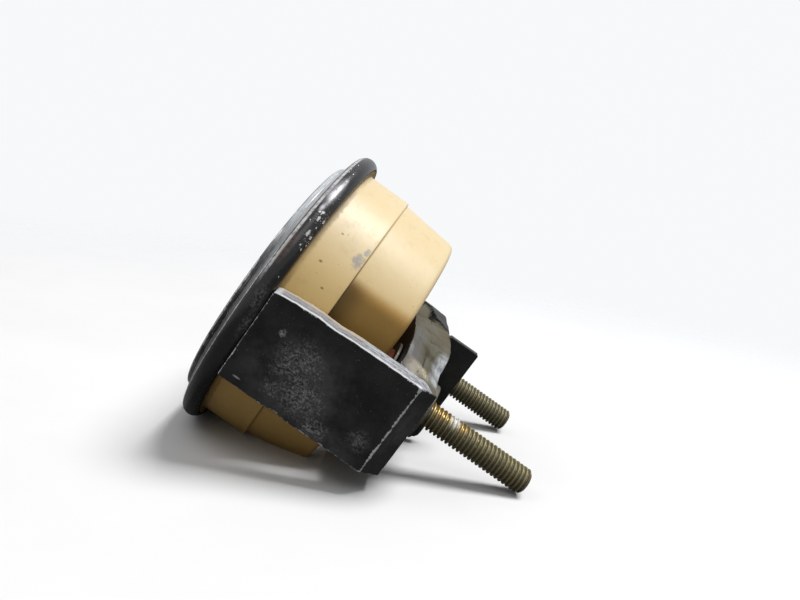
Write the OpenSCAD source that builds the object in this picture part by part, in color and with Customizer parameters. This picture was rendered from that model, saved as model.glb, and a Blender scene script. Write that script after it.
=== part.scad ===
// Panel ammeter with a centre-zero moving-iron movement, two terminal studs and a U clamp.
// The origin is the centre of the bezel's rear face, which seats on the panel. +X points into
// the panel, towards the studs, +Z is twelve o'clock, and the dial faces -X. Millimetres.

/* [Bezel] */
// Outside diameter of the bezel
bezel_d = 57.15; // [50:0.05:65]
// How far the bezel reaches past the barrel that fills the panel hole
rim_reach = 2.575; // [2.3:0.025:4]
// Height of the bezel's front above the panel
bezel_rise = 5.2; // [4.8:0.1:7]
// Thickness of the spun sheet
bezel_wall = 0.7; // [0.5:0.05:0.9]
// Radius of the rolled rim
rim_radius = 1.85; // [1.75:0.05:2.2]
// Height of the crease between the rim and the sloping front
crease_rise = 3.2; // [3:0.05:3.4]
// Distance of the raised front ring from the bezel's edge
ring_inset = 4.375; // [3.7:0.025:4.8]
// Height of the raised front ring
ring_rise = 1.05; // [0.6:0.05:1.3]
// Width of the raised front ring, out from the window
ring_w = 2.4; // [2:0.1:4]

/* [Case] */
// Length of the barrel behind the panel's front face
barrel_len = 8.4; // [6:0.1:12]
// Step in radius behind the barrel
rear_step = 0.5; // [0.2:0.1:1]
// How much the radius falls from the step to the rear face
rear_taper = 1.1; // [0.2:0.1:2]
// Depth of the flat sides, in from the round rear part
flat_depth = 2.9; // [1:0.1:3.2]
// Radius of the round edges of the flat sides
flat_round = 5; // [2:0.5:8]
// Depth of the case behind the panel's front face
case_depth = 19.7; // [19.3:0.1:26]
// Thickness of the side wall
case_wall = 1.7; // [1.2:0.1:2]
// Thickness of the rear wall
rear_wall = 2.0; // [1.6:0.1:2.3]
// Radius of the rounded rear edge
rear_round = 0.8; // [0.3:0.1:1.5]

/* [Glass and dial] */
// Thickness of the glass
lens_t = 2.0; // [1.5:0.1:2.5]
// Thickness of the gasket behind the glass
gasket_t = 0.7; // [0.5:0.1:1]
// Depth of the dial's face behind the panel's front face
dial_depth = 2.0; // [1.5:0.1:2.4]
// Thickness of the dial
dial_t = 0.8; // [0.5:0.1:1]
// Width of the ledge that carries the dial
dial_ledge = 1.5; // [1:0.1:2]

/* [Movement] */
// Gap between the magnet and the lower fixing screw
screw_gap = 1.1; // [0.5:0.1:3]
// Diameter of the staff
staff_d = 1.2; // [1:0.05:1.6]
// Length of the pointer from its pivot to its tip
pointer_len = 23; // [16:0.5:26]
// Length of the pointer's tail, to the centre of the counterweight
tail_len = 6; // [5:0.5:9]
// Swing of the pointer to each side of zero, in degrees
swing = 40; // [20:1:50]
// Distance of the pillars from the pivot
pillar_reach = 11.2; // [10:0.1:12.5]
// Length of the pillars
pillar_len = 5.6; // [5.2:0.1:6]
// Length of the spacers between the bridge and the dial
dial_gap = 2.6; // [2:0.1:3]
// Thickness of the bridge
bridge_t = 1.0; // [0.8:0.1:1.2]
// Thickness of the base plate
base_t = 1.2; // [0.8:0.1:1.5]
// Gap between the magnet and the pillars
magnet_gap = 0.6; // [0.3:0.1:2]
// Thickness of the magnet
magnet_t = 2.6; // [2:0.1:3]
// Width of the magnet's ring
magnet_w = 2.7; // [1.5:0.1:4]

/* [Studs] */
// Thread diameter of the terminal studs
stud_d = 4.83; // [4:0.01:5.5]
// Distance of the studs' axes inside the flat sides, at the case's rear
stud_inset = 5.9; // [5.8:0.1:8]
// Reach of the studs behind the case
stud_reach = 32.3; // [30:0.1:40]
// Thickness of the bar that joins the studs
bar_t = 1.5; // [1:0.1:1.8]
// Width of the bar that joins the studs
bar_w = 8.4; // [7:0.1:8.5]
// Size of the stud heads across their flats
head_af = 8; // [7.2:0.1:9]
// Diameter of the round plate nuts outside the case
nut_d = 14.3; // [12:0.1:16]
// Thickness of the stud heads
head_t = 2.3; // [1.8:0.1:2.5]
// Diameter of the fibre washers
fibre_d = 11.2; // [10:0.1:13]
// Thickness of the fibre washers
fibre_t = 1.2; // [0.9:0.1:1.3]

/* [Clamp] */
// Height of the clamp, across its width
clamp_h = 20.8; // [18:0.1:24]
// Least thickness of the clamp's legs
leg_wall = 1.6; // [1:0.1:1.65]
// Gap between the case's rear face and the clamp's web
web_gap = 2.0; // [1.8:0.1:5]
// Thickness of the web
web_t = 7.7; // [4:0.1:10]
// Size of the chamfers at the clamp's rear corners
corner_chamfer = 3.3; // [1:0.1:5]
// Thickness of the barrier rib between the studs
rib_t = 2.2; // [1:0.1:4]
// Reach of the barrier rib behind the web
rib_rise = 6.1; // [3:0.1:9]
// How far the near leg is cut down below the clamp's upper edge
cut_depth = 4.6; // [1:0.1:6]
// Length of the low part of the cut, from the near side
cut_low = 8.8; // [4:0.1:10]
// Length of the broken slope that climbs back to the upper edge
cut_slope = 10; // [2:0.1:14]
// Outside diameter of the insulating bushes
bush_d = 7.2; // [6.8:0.1:8]
// Diameter of the washer on the near stud
washer_d = 10; // [8.5:0.1:12]
// Thickness of the washer on the near stud
washer_t = 1.3; // [0.8:0.1:1.8]

/* [Hidden] */

// Clearances
fit_clear = 0.2;      // stacked discs and rings inside their bore
run_clear = 0.05;     // staff in its bearings, on the radius
hole_clear = 0.05;    // screws and studs in plain holes, on the radius
press_clear = 0.02;   // pieces pressed on each other, on the radius
lip_clear = 0.3;      // bezel's lip round the barrel
rim_clear = 0.1;      // case flange inside the rolled rim
clamp_clear = 0.2;    // clamp's legs round the barrel
foot_gap = 0.1;       // clamp's feet behind the bezel
nut_clear = 0.3;      // stud nuts in front of the clamp's web
slide_clear = 0.15;   // bushes round the studs, on the radius
swing_clear = 0.3;    // pointer beside its stops
end_shake = 0.1;      // staff at the bottom of its rear bearing
dial_clear = 0.6;     // staff in the dial's hole, on the radius
vane_clear = 0.4;     // vane in front of the magnet
pole_clear = 1.3;     // ends of the vane inside the magnet, on the radius
eps = 0.01;           // overshoot of a cut

// Bezel
bezel_r = bezel_d / 2;
ring_r = bezel_r - ring_inset;
window_r = ring_r - ring_w;
edge_round = 0.5;
rim_back = 0.2;
rim_mid = rim_radius - rim_back;
rim_in = rim_radius - bezel_wall;
rear_angle = asin(rim_mid / rim_radius);
crease_angle = asin((crease_rise - rim_mid) / rim_radius);
lip_angle = asin((rim_mid - bezel_wall) / rim_in);
foot_x = -(bezel_rise - ring_rise);
ring_flare = 0.75;
foot_r = ring_r + ring_flare;
crease_x = -crease_rise;
crease_r = bezel_r - rim_radius + rim_radius * cos(crease_angle);
slope_run = (foot_x - crease_x) / (foot_r - crease_r);
slope_in_x = -rim_mid - rim_in * sin(crease_angle);
slope_in_r = bezel_r - rim_radius + rim_in * cos(crease_angle);
ring_in_r = ring_r - bezel_wall;
ring_in_x = slope_in_x + slope_run * (ring_in_r - slope_in_r);

// Case
barrel_r = bezel_r - rim_reach;
lip_r = barrel_r + lip_clear;
flange_r = bezel_r - rim_radius + rim_in * cos(lip_angle) - rim_clear;
mouth_x = slope_in_x + rim_clear;
bore_r = barrel_r - case_wall;
ledge_r = bore_r - dial_ledge;
taper_r = barrel_r - rear_step;
rear_r = taper_r - rear_taper;
floor_x = case_depth - rear_wall;
draft = atan(rear_taper / (case_depth - barrel_len));
shelf_x = barrel_len - case_wall;
shelf_r = taper_r - case_wall - (barrel_len - shelf_x) * tan(draft);
flat_y = taper_r - flat_depth;
flat_angle = acos(flat_y / taper_r);
flat_half = sqrt(pow(taper_r, 2) - pow(flat_y, 2)) - flat_round * tan(flat_angle / 2);
stud_y = rear_r - flat_depth - stud_inset;

// Glass and dial, from the front to the rear
stack_r = ring_in_r - fit_clear;
lens_x = -(bezel_rise - bezel_wall);
gasket_x = lens_x + lens_t;
spacer_x = gasket_x + gasket_t;
dial_x = dial_depth;
dial_back = dial_x + dial_t;
ring_seat = 1.0;

// Movement, from the dial to the rear
bridge_x = dial_back + dial_gap;
pillar_x = bridge_x + bridge_t;
base_x = pillar_x + pillar_len;
base_back = base_x + base_t;
staff_r = staff_d / 2;
staff_proud = 2.1;
staff_short = 0.4;
staff_x = dial_x - staff_proud;
staff_end = base_back - staff_short;
hub_wall = 1.1;
hub_r = staff_r + hub_wall;
hub_t = 1.5;
hub_flange = 0.9;
blade_proud = 1.8;
blade_x = dial_x - blade_proud;
blade_t = 0.35;
blade_w = 1.5;
tip_w = 0.5;
tip_len = 4.6;
weight_r = 1.5;
weight_t = 0.9;
stop_r = 0.5;
stop_reach = 9;
stop_proud = 0.4;
stop_angle = swing + asin((blade_w / 2 + stop_r + swing_clear) / stop_reach);
pillar_r = 1.6;
screw_r = 0.85;
screw_head_r = 1.7;
screw_head_t = 0.9;
screw_grip = 3.6;
screw_end = pillar_x + screw_grip;
arm_w = 6;
spine_w = 5.6;
mount_up = 14;
boss_r = 3;
boss_sunk = 0.3;
mount_down = rear_r - case_wall - boss_r + boss_sunk;
magnet_r = pillar_reach - pillar_r - magnet_gap;
mount_screw_r = 1.1;
mount_head_r = 1.9;
pivot_drop = mount_down - mount_head_r - screw_gap - magnet_r;
mount_head_t = 1.1;
mount_grip = 2.6;
mount_end = base_back + mount_grip;
jewel_r = 1.95;
jewel_rise = 1.0;
jewel_nut_r = 2.7;
jewel_nut_t = 1.0;
bush_body_r = 1.5;
bush_flange_r = 2.2;
bush_flange_t = 0.8;
bush_tail = 0.6;
vane_t = 1.0;
vane_w = 2.6;
vane_x = base_x - magnet_t - vane_clear;
magnet_in_r = magnet_r - magnet_w;
vane_len = 2 * (magnet_in_r - pole_clear);
magnet_mouth = 5;

// Studs
stud_r = stud_d / 2;
thread_proud = 0.26;
shank_r = stud_r - thread_proud;
bar_x = floor_x - bar_t;
head_x = bar_x - head_t;
stud_end = case_depth + stud_reach;
stud_point = 0.5;
nut_x = case_depth + fibre_t;
nut_t = web_gap - fibre_t - nut_clear;

// Clamp
clamp_in_r = barrel_r + clamp_clear;
clamp_half = clamp_in_r + leg_wall;
web_x = case_depth + web_gap;
web_back = web_x + web_t;
clamp_top = clamp_h / 2;
rib_base = 0.4;
rib_proud = 0.7;
rib_corner = 1.5;
rib_root = 1;
thread_start = 1.25;
thread_x = web_back + thread_start;

$fn = 96;

// Places children with their own Z axis along +X, with the local X axis pointing down
module along_x() rotate([0, 90, 0]) children();

// A disc or ring from x0 to x1, centred on (y, z)
module ring(x0, x1, r, bore = 0, y = 0, z = 0) {
    translate([x0, y, z]) along_x() difference() {
        cylinder(r = r, h = x1 - x0);
        if (bore > 0) translate([0, 0, -eps]) cylinder(r = bore, h = x1 - x0 + 2 * eps);
    }
}

// A hexagon across its flats, from x0 to x1
module hexagon(x0, x1, flats, y) {
    translate([x0, y, 0]) along_x() cylinder(r = flats / 2 / cos(30), h = x1 - x0, $fn = 6);
}

// A plate from x0 to x1, drawn in the plane of Y (to the right) and Z (up)
module plate(x0, x1) {
    translate([x0, 0, 0]) rotate([90, 0, 90]) linear_extrude(x1 - x0) children();
}

// A flat bar with round ends, from one point to another
module bar(from, to, w) {
    run = to - from;
    translate(from) circle(d = w);
    translate(to) circle(d = w);
    translate(from) rotate(atan2(run[1], run[0])) translate([0, -w / 2]) square([norm(run), w]);
}

// A ring turned from a profile of [x, r] points
module turned(profile) {
    along_x() rotate_extrude() polygon([for (p = profile) [p[1], p[0]]]);
}

// Points of an arc about (x, r), with angles counted from the outward radius towards +X
function arc(x, r, radius, from, to, steps = 8) =
    [for (i = [0 : steps]) let (a = from + (to - from) * i / steps)
        [x + radius * sin(a), r + radius * cos(a)]];

// Front

module bezel() {
    outside = concat(
        arc(-rim_mid, bezel_r - rim_radius, rim_radius, rear_angle, -crease_angle, 12),
        [[foot_x, foot_r], [foot_x, ring_r]],
        arc(-bezel_rise + edge_round, ring_r - edge_round, edge_round, 0, -90, 4),
        arc(-bezel_rise + edge_round / 2, window_r + edge_round / 2, edge_round / 2, -90, -180, 3));
    inside = concat(
        [[lens_x, window_r], [lens_x, ring_in_r], [ring_in_x, ring_in_r]],
        arc(-rim_mid, bezel_r - rim_radius, rim_in, -crease_angle, lip_angle, 10),
        [[-bezel_wall, lip_r], [0, lip_r]]);
    color("#1d1d1f") turned(concat(outside, inside));
}

module lens() {
    color("#cfe0e4", 0.35) ring(lens_x, gasket_x, stack_r);
}

module lens_gasket() {
    color("#2a2a2a") ring(gasket_x, spacer_x, stack_r, window_r);
}

module spacer_ring() {
    color("#18181a") turned([[spacer_x, window_r], [spacer_x, stack_r], [dial_x, stack_r],
                             [dial_x, stack_r - ring_seat]]);
}

module dial_plate() {
    color("#151517") difference() {
        ring(dial_x, dial_back, bore_r - fit_clear);
        ring(dial_x - eps, dial_back + eps, staff_r + dial_clear, 0, 0, -pivot_drop);
        for (s = [-1, 1])
            ring(dial_x - eps, dial_back + eps, screw_r + hole_clear, 0, s * pillar_reach, -pivot_drop);
    }
}

module pointer_stops() {
    color("#b9b9b4") for (s = [-1, 1])
        ring(blade_x - stop_proud, dial_x, stop_r, 0, s * stop_reach * sin(stop_angle),
             stop_reach * cos(stop_angle) - pivot_drop);
}

// Case

// What lies beyond a flat side: its rear end leans in by the draft, and its edges are rounded
module beyond_flat(inset = 0) {
    reach = barrel_r;
    curve = [for (i = [0 : 8]) let (a = flat_angle * i / 8)
        [-flat_round * (1 - cos(a)), flat_half + flat_round * sin(a)]];
    tip = curve[8] + reach * [-sin(flat_angle), cos(flat_angle)];
    half = concat(curve, [tip, [reach, tip[1]]]);
    outline = concat(half, [for (i = [len(half) - 1 : -1 : 0]) [half[i][0], -half[i][1]]]);
    translate([barrel_len, flat_y - inset, 0]) rotate([0, 0, -draft]) translate([-reach, 0, 0])
        rotate([90, 0, 90]) linear_extrude(2 * reach) polygon(outline);
}

// A turned profile, given as [x, r] points, without what lies beyond the flat sides
module flat_sided(profile, inset = 0) {
    difference() {
        turned(profile);
        beyond_flat(inset);
        mirror([0, 1, 0]) beyond_flat(inset);
    }
}

module case_shell() {
    front = [[mouth_x, 0], [mouth_x, flange_r], [-bezel_wall, flange_r], [-bezel_wall, barrel_r],
             [barrel_len, barrel_r], [barrel_len, 0]];
    rear = concat([[shelf_x, 0], [shelf_x, taper_r], [barrel_len, taper_r]],
        arc(case_depth - rear_round, rear_r - rear_round, rear_round, 0, 90, 6), [[case_depth, 0]]);
    front_hollow = [[mouth_x - eps, 0], [mouth_x - eps, bore_r], [dial_back, bore_r],
                    [dial_back, ledge_r], [shelf_x, ledge_r], [shelf_x, 0]];
    rear_hollow = [[shelf_x - eps, 0], [shelf_x - eps, shelf_r], [floor_x, rear_r - case_wall],
                   [floor_x, 0]];
    color("#e3cf9a") difference() {
        union() {
            difference() {
                union() {
                    turned(front);
                    flat_sided(rear);
                }
                turned(front_hollow);
                flat_sided(rear_hollow, case_wall);
            }
            for (z = [mount_up, -mount_down]) intersection() {
                ring(base_back, floor_x + eps, boss_r, 0, 0, z);
                ring(base_back, floor_x + eps, rear_r - case_wall / 2);
            }
        }
        for (s = [-1, 1])
            ring(floor_x - eps, case_depth + eps, shank_r + hole_clear, 0, s * stud_y);
        for (z = [mount_up, -mount_down])
            ring(base_back - eps, mount_end + fit_clear, mount_screw_r + hole_clear, 0, 0, z);
    }
}

// Movement, the fixed pieces

module dial_screws() {
    color("#c8b27a") for (s = [-1, 1]) {
        ring(dial_x - screw_head_t, dial_x, screw_head_r, 0, s * pillar_reach, -pivot_drop);
        ring(dial_x - eps, screw_end, screw_r, 0, s * pillar_reach, -pivot_drop);
    }
}

module dial_spacers() {
    color("#c9a14a") for (s = [-1, 1])
        ring(dial_back, bridge_x, pillar_r, screw_r + hole_clear, s * pillar_reach, -pivot_drop);
}

module bridge() {
    color("#c9a14a") difference() {
        plate(bridge_x, pillar_x) bar([-pillar_reach, -pivot_drop], [pillar_reach, -pivot_drop], arm_w);
        ring(bridge_x - eps, pillar_x + eps, bush_body_r + press_clear, 0, 0, -pivot_drop);
        for (s = [-1, 1])
            ring(bridge_x - eps, pillar_x + eps, screw_r + hole_clear, 0, s * pillar_reach, -pivot_drop);
    }
}

module pillars() {
    color("#c9a14a") for (s = [-1, 1]) difference() {
        ring(pillar_x, base_x, pillar_r, 0, s * pillar_reach, -pivot_drop);
        ring(pillar_x - eps, screw_end + fit_clear, screw_r + hole_clear, 0, s * pillar_reach,
             -pivot_drop);
    }
}

module movement_base() {
    color("#c9a14a") difference() {
        plate(base_x, base_back) {
            bar([-pillar_reach, -pivot_drop], [pillar_reach, -pivot_drop], arm_w);
            bar([0, -mount_down], [0, mount_up], spine_w);
        }
        ring(base_x - eps, base_back + eps, jewel_r + press_clear, 0, 0, -pivot_drop);
        for (z = [mount_up, -mount_down])
            ring(base_x - eps, base_back + eps, mount_screw_r + hole_clear, 0, 0, z);
    }
}

module base_screws() {
    color("#9a9a96") for (z = [mount_up, -mount_down]) {
        ring(base_x - mount_head_t, base_x, mount_head_r, 0, 0, z);
        ring(base_x - eps, mount_end, mount_screw_r, 0, 0, z);
    }
}

module front_bearing() {
    color("#d6b45c") difference() {
        union() {
            ring(bridge_x - bush_flange_t, bridge_x, bush_flange_r, 0, 0, -pivot_drop);
            ring(bridge_x - eps, pillar_x + bush_tail, bush_body_r, 0, 0, -pivot_drop);
        }
        ring(bridge_x - bush_flange_t - eps, pillar_x + bush_tail + eps, staff_r + run_clear, 0, 0,
             -pivot_drop);
    }
}

module rear_bearing() {
    color("#d6b45c") difference() {
        union() {
            ring(base_x - jewel_rise, base_back, jewel_r, 0, 0, -pivot_drop);
            ring(base_back, base_back + jewel_nut_t, jewel_nut_r, 0, 0, -pivot_drop);
        }
        ring(base_x - jewel_rise - eps, staff_end + end_shake, staff_r + run_clear, 0, 0, -pivot_drop);
    }
}

module magnet() {
    color("#5a5c60") difference() {
        ring(base_x - magnet_t, base_x, magnet_r, magnet_in_r, 0, -pivot_drop);
        translate([base_x - magnet_t - eps, -magnet_mouth / 2, -pivot_drop])
            cube([magnet_t + 2 * eps, magnet_mouth, magnet_r + eps]);
    }
}

// Moving set, about the pivot at the rest position

module staff() {
    color("#b8b8b8") ring(staff_x, staff_end, staff_r, 0, 0, -pivot_drop);
}

module pointer_hub() {
    color("#1a1a1a") ring(staff_x, staff_x + hub_t, hub_r, staff_r + press_clear, 0, -pivot_drop);
}

module pointer() {
    shoulder = pointer_len - tip_len;
    color("#ece9df") difference() {
        plate(blade_x, blade_x + blade_t) translate([0, -pivot_drop]) {
            circle(r = hub_r + hub_flange);
            polygon([[-blade_w / 2, 0], [blade_w / 2, 0], [blade_w / 2, shoulder],
                     [tip_w / 2, pointer_len], [-tip_w / 2, pointer_len], [-blade_w / 2, shoulder]]);
            bar([0, 0], [0, -tail_len], blade_w);
        }
        ring(blade_x - eps, blade_x + blade_t + eps, hub_r + press_clear, 0, 0, -pivot_drop);
    }
}

module counterweight() {
    color("#c9a14a")
        ring(blade_x + blade_t, blade_x + blade_t + weight_t, weight_r, 0, 0, -pivot_drop - tail_len);
}

module armature_vane() {
    color("#77797c") difference() {
        plate(vane_x, vane_x + vane_t) translate([0, -pivot_drop]) intersection() {
            square([vane_len, vane_w], center = true);
            circle(d = vane_len);
        }
        ring(vane_x - eps, vane_x + vane_t + eps, staff_r + press_clear, 0, 0, -pivot_drop);
    }
}

// Studs

module conductor_bar() {
    color("#b87a4b") difference() {
        plate(bar_x, floor_x) bar([-stud_y, 0], [stud_y, 0], bar_w);
        for (s = [-1, 1])
            ring(bar_x - eps, floor_x + eps, shank_r + hole_clear, 0, s * stud_y);
    }
}

module stud(y) {
    hexagon(head_x, bar_x, head_af, y);
    ring(bar_x - eps, thread_x, shank_r, 0, y);
    ring(thread_x - eps, stud_end - stud_point, stud_r, 0, y);
    translate([stud_end - stud_point - eps, y, 0])
        along_x() cylinder(r1 = stud_r, r2 = stud_r - stud_point, h = stud_point + eps);
}

module near_stud() {
    color("#b9a15a") stud(-stud_y);
}

module far_stud() {
    color("#a3925c") stud(stud_y);
}

module stud_nuts() {
    color("#8f8c7c") for (s = [-1, 1])
        ring(nut_x, nut_x + nut_t, nut_d / 2, shank_r + hole_clear, s * stud_y);
}

module fibre_washers() {
    color("#9c4a35") for (s = [-1, 1])
        ring(case_depth, nut_x, fibre_d / 2, shank_r + hole_clear, s * stud_y);
}

// Clamp

// Side outline of the clamp in X and Y, with both rear corners chamfered
module clamp_plan() {
    polygon([[foot_gap, -clamp_half], [web_back - corner_chamfer, -clamp_half],
             [web_back, corner_chamfer - clamp_half], [web_back, clamp_half - corner_chamfer],
             [web_back - corner_chamfer, clamp_half], [foot_gap, clamp_half]]);
}

// Outline of the clamp from behind, with its near leg cut down and the broken slope beside it
module clamp_front() {
    low = clamp_top - cut_depth;
    polygon([[-clamp_half - eps, -clamp_top], [clamp_half + eps, -clamp_top], [clamp_half + eps, clamp_top],
             [cut_low + cut_slope - clamp_half, clamp_top], [cut_low - clamp_half, low],
             [-clamp_half - eps, low]]);
}

module barrier_rib() {
    low = clamp_top - rib_base;
    top = clamp_top + rib_proud;
    rib_x = web_back + rib_rise;
    translate([0, rib_t / 2, 0]) rotate([90, 0, 0]) linear_extrude(rib_t)
        polygon([[web_back - rib_root, -low], [rib_x - rib_corner, -low], [rib_x, rib_corner - low],
                 [rib_x, top], [web_back, top], [web_back - rib_root, low]]);
}

module clamp_bracket() {
    color("#232324") difference() {
        union() {
            intersection() {
                translate([0, 0, -clamp_top]) linear_extrude(clamp_h) clamp_plan();
                plate(foot_gap - eps, web_back + eps) clamp_front();
            }
            barrier_rib();
        }
        ring(foot_gap - eps, web_x, clamp_in_r);
        for (s = [-1, 1])
            ring(web_x - eps, web_back + eps, bush_d / 2 + press_clear, 0, s * stud_y);
    }
}

module clamp_bushes() {
    color("#38302a") for (s = [-1, 1])
        ring(web_x, web_back, bush_d / 2, stud_r + slide_clear, s * stud_y);
}

module stud_washer() {
    color("#a9aaa6")
        ring(web_back, web_back + washer_t, washer_d / 2, stud_r + slide_clear, -stud_y);
}

bezel();
lens();
lens_gasket();
spacer_ring();
dial_plate();
pointer_stops();
dial_screws();
dial_spacers();
case_shell();
movement_base();
base_screws();
pillars();
bridge();
front_bearing();
rear_bearing();
magnet();
conductor_bar();
near_stud();
far_stud();
stud_nuts();
fibre_washers();
pointer();
pointer_hub();
staff();
counterweight();
armature_vane();
clamp_bracket();
clamp_bushes();
stud_washer();
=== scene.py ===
"""Looks of a round panel ammeter, lying on its bezel and stud ends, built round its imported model."""

import sys
import logging
import math
from dataclasses import dataclass
from enum import Enum
from typing import Any, Callable, Sequence

import bmesh
import bpy
import numpy as np
from mathutils import Matrix, Vector, kdtree, noise


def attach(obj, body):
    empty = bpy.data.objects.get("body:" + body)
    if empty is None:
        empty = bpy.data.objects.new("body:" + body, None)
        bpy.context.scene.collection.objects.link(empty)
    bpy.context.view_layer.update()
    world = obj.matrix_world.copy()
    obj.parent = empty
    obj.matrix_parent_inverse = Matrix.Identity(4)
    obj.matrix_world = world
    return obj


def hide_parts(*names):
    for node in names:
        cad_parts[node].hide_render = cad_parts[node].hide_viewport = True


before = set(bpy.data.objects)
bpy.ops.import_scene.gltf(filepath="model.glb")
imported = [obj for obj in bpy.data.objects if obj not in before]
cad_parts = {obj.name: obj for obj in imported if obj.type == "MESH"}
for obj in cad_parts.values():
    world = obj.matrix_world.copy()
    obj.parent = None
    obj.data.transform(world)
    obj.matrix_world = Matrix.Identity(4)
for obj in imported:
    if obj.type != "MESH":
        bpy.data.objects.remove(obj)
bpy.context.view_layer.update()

LOG = logging.getLogger("ammeter")
MM = 0.001
Place = tuple[float, float]
Profile = list[Place]
Spot = tuple[float, float, float]
Colour = tuple[float, float, float]


class Body(Enum):
    """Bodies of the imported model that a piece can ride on."""

    INSTRUMENT = "instrument"
    CLAMP = "clamp"


class Side(Enum):
    """Side of the instrument, by the sign of Y."""

    NEAR = -1
    FAR = 1


# Node trees


def operation(name: str, swapped: bool = False) -> Callable[..., "Term"]:
    """Returns a method that adds a Math node, with its operands in the other order where swapped.

    Args:
        name: The node's operation.
        swapped: Whether the term itself comes last.

    Returns:
        The method.
    """

    def method(self: "Term", *others: Any) -> "Term":
        """Adds the node and returns its result."""
        return self.graph.math(name, *((*others, self) if swapped else (self, *others)))

    return method


@dataclass(frozen=True, eq=False)
class Term:
    """An output of a node tree, with the sums, ramps and mixes that the tree works out from it."""

    graph: "Graph"
    socket: bpy.types.NodeSocket

    __add__ = __radd__ = operation("ADD")
    __mul__ = __rmul__ = operation("MULTIPLY")
    __sub__, __rsub__ = operation("SUBTRACT"), operation("SUBTRACT", swapped=True)
    __truediv__, __mod__ = operation("DIVIDE"), operation("MODULO")
    __abs__, __ceil__ = operation("ABSOLUTE"), operation("CEIL")
    least, most = operation("MINIMUM"), operation("MAXIMUM")
    cos, sin, fraction = operation("COSINE"), operation("SINE"), operation("FRACT")

    def band(self, low: float, high: float, soft: bool = True) -> "Term":
        """Maps this value to 0 at low and 1 at high, held at both ends, with a smooth step where soft.

        Args:
            low: The value that gives 0.
            high: The value that gives 1.
            soft: Whether the step is smooth.

        Returns:
            The mapped value.
        """
        ends = (low, high, 0.0, 1.0)
        if soft and low > high:
            ends = (high, low, 1.0, 0.0)
        given = dict(zip(("Value", "From Min", "From Max", "To Min", "To Max"), (self, *ends)))
        shape = "SMOOTHSTEP" if soft else "LINEAR"
        return self.graph.term("ShaderNodeMapRange", given, interpolation_type=shape)

    def mix(self, first: Any, second: Any, kind: str = "RGBA") -> "Term":
        """Mixes two colours, 0 for the first and 1 for the second, or two values where the kind is VALUE.

        Args:
            first: What 0 gives.
            second: What 1 gives.
            kind: RGBA for colours or VALUE for values.

        Returns:
            The mixture.
        """
        made = self.graph.node("ShaderNodeMix", data_type="RGBA" if kind == "RGBA" else "FLOAT")
        ends = [socket for socket in made.inputs if socket.name in ("A", "B") and socket.type == kind]
        for socket, thing in zip((made.inputs["Factor"], *ends), (self, first, second)):
            self.graph.feed(socket, thing)
        return Term(self.graph, next(socket for socket in made.outputs if socket.type == kind))

    def blend(self, first: Any, second: Any) -> "Term":
        """Mixes two values, 0 for the first and 1 for the second."""
        return self.mix(first, second, "VALUE")


def most(first: Term, *others: Term) -> Term:
    """Returns the highest of several values.

    Args:
        first: One value.
        *others: The other values.

    Returns:
        The highest.
    """
    for other in others:
        first = first.most(other)
    return first


@dataclass
class Graph:
    """A node tree under construction."""

    tree: bpy.types.NodeTree

    def node(self, kind: str, given: dict[Any, Any] | None = None, **settings: Any) -> bpy.types.Node:
        """Adds a node.

        Args:
            kind: Blender's name of the node type.
            given: What its inputs get, by their names or numbers.
            **settings: Properties to set on the node.

        Returns:
            The new node.
        """
        made = self.tree.nodes.new(kind)
        for key, value in settings.items():
            setattr(made, key, value)
        for key, thing in (given or {}).items():
            self.feed(made.inputs[key], thing)
        return made

    def term(self, kind: str, given: dict[Any, Any] | None = None, output: int | str = 0,
             **settings: Any) -> Term:
        """Adds a node and returns one of its outputs."""
        return Term(self, self.node(kind, given, **settings).outputs[output])

    def feed(self, socket: bpy.types.NodeSocket, thing: Any) -> None:
        """Links a term or an output to a socket, or sets the socket's own value.

        Args:
            socket: The input.
            thing: A term, an output or a plain value.
        """
        thing = getattr(thing, "socket", thing)
        if isinstance(thing, bpy.types.NodeSocket):
            self.tree.links.new(thing, socket)
        else:
            socket.default_value = (*thing, 1.0) if socket.type == "RGBA" else thing

    def math(self, name: str, *terms: Any, clamp: bool = False) -> Term:
        """Adds a Math node, whose result is held between 0 and 1 where clamp is set."""
        return self.term("ShaderNodeMath", dict(enumerate(terms)), operation=name, use_clamp=clamp)

    def vector(self, name: str, *terms: Any, scale: Any = 1.0) -> Term:
        """Adds a Vector Math node, whose result is a value for LENGTH, DISTANCE and DOT_PRODUCT.

        Args:
            name: Its operation.
            *terms: Its operands.
            scale: The factor of SCALE.

        Returns:
            The result.
        """
        given = dict(enumerate(terms)) | ({"Scale": scale} if name == "SCALE" else {})
        output = "Value" if name in ("LENGTH", "DISTANCE", "DOT_PRODUCT") else "Vector"
        return self.term("ShaderNodeVectorMath", given, output, operation=name)

    def split(self, vector: Any) -> tuple[Term, ...]:
        """Returns the three coordinates of a vector."""
        return tuple(Term(self, output) for output in self.node("ShaderNodeSeparateXYZ", {0: vector}).outputs)

    def join(self, *coordinates: Any) -> Term:
        """Returns a vector made of three coordinates."""
        return self.term("ShaderNodeCombineXYZ", dict(enumerate(coordinates)))


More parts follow.
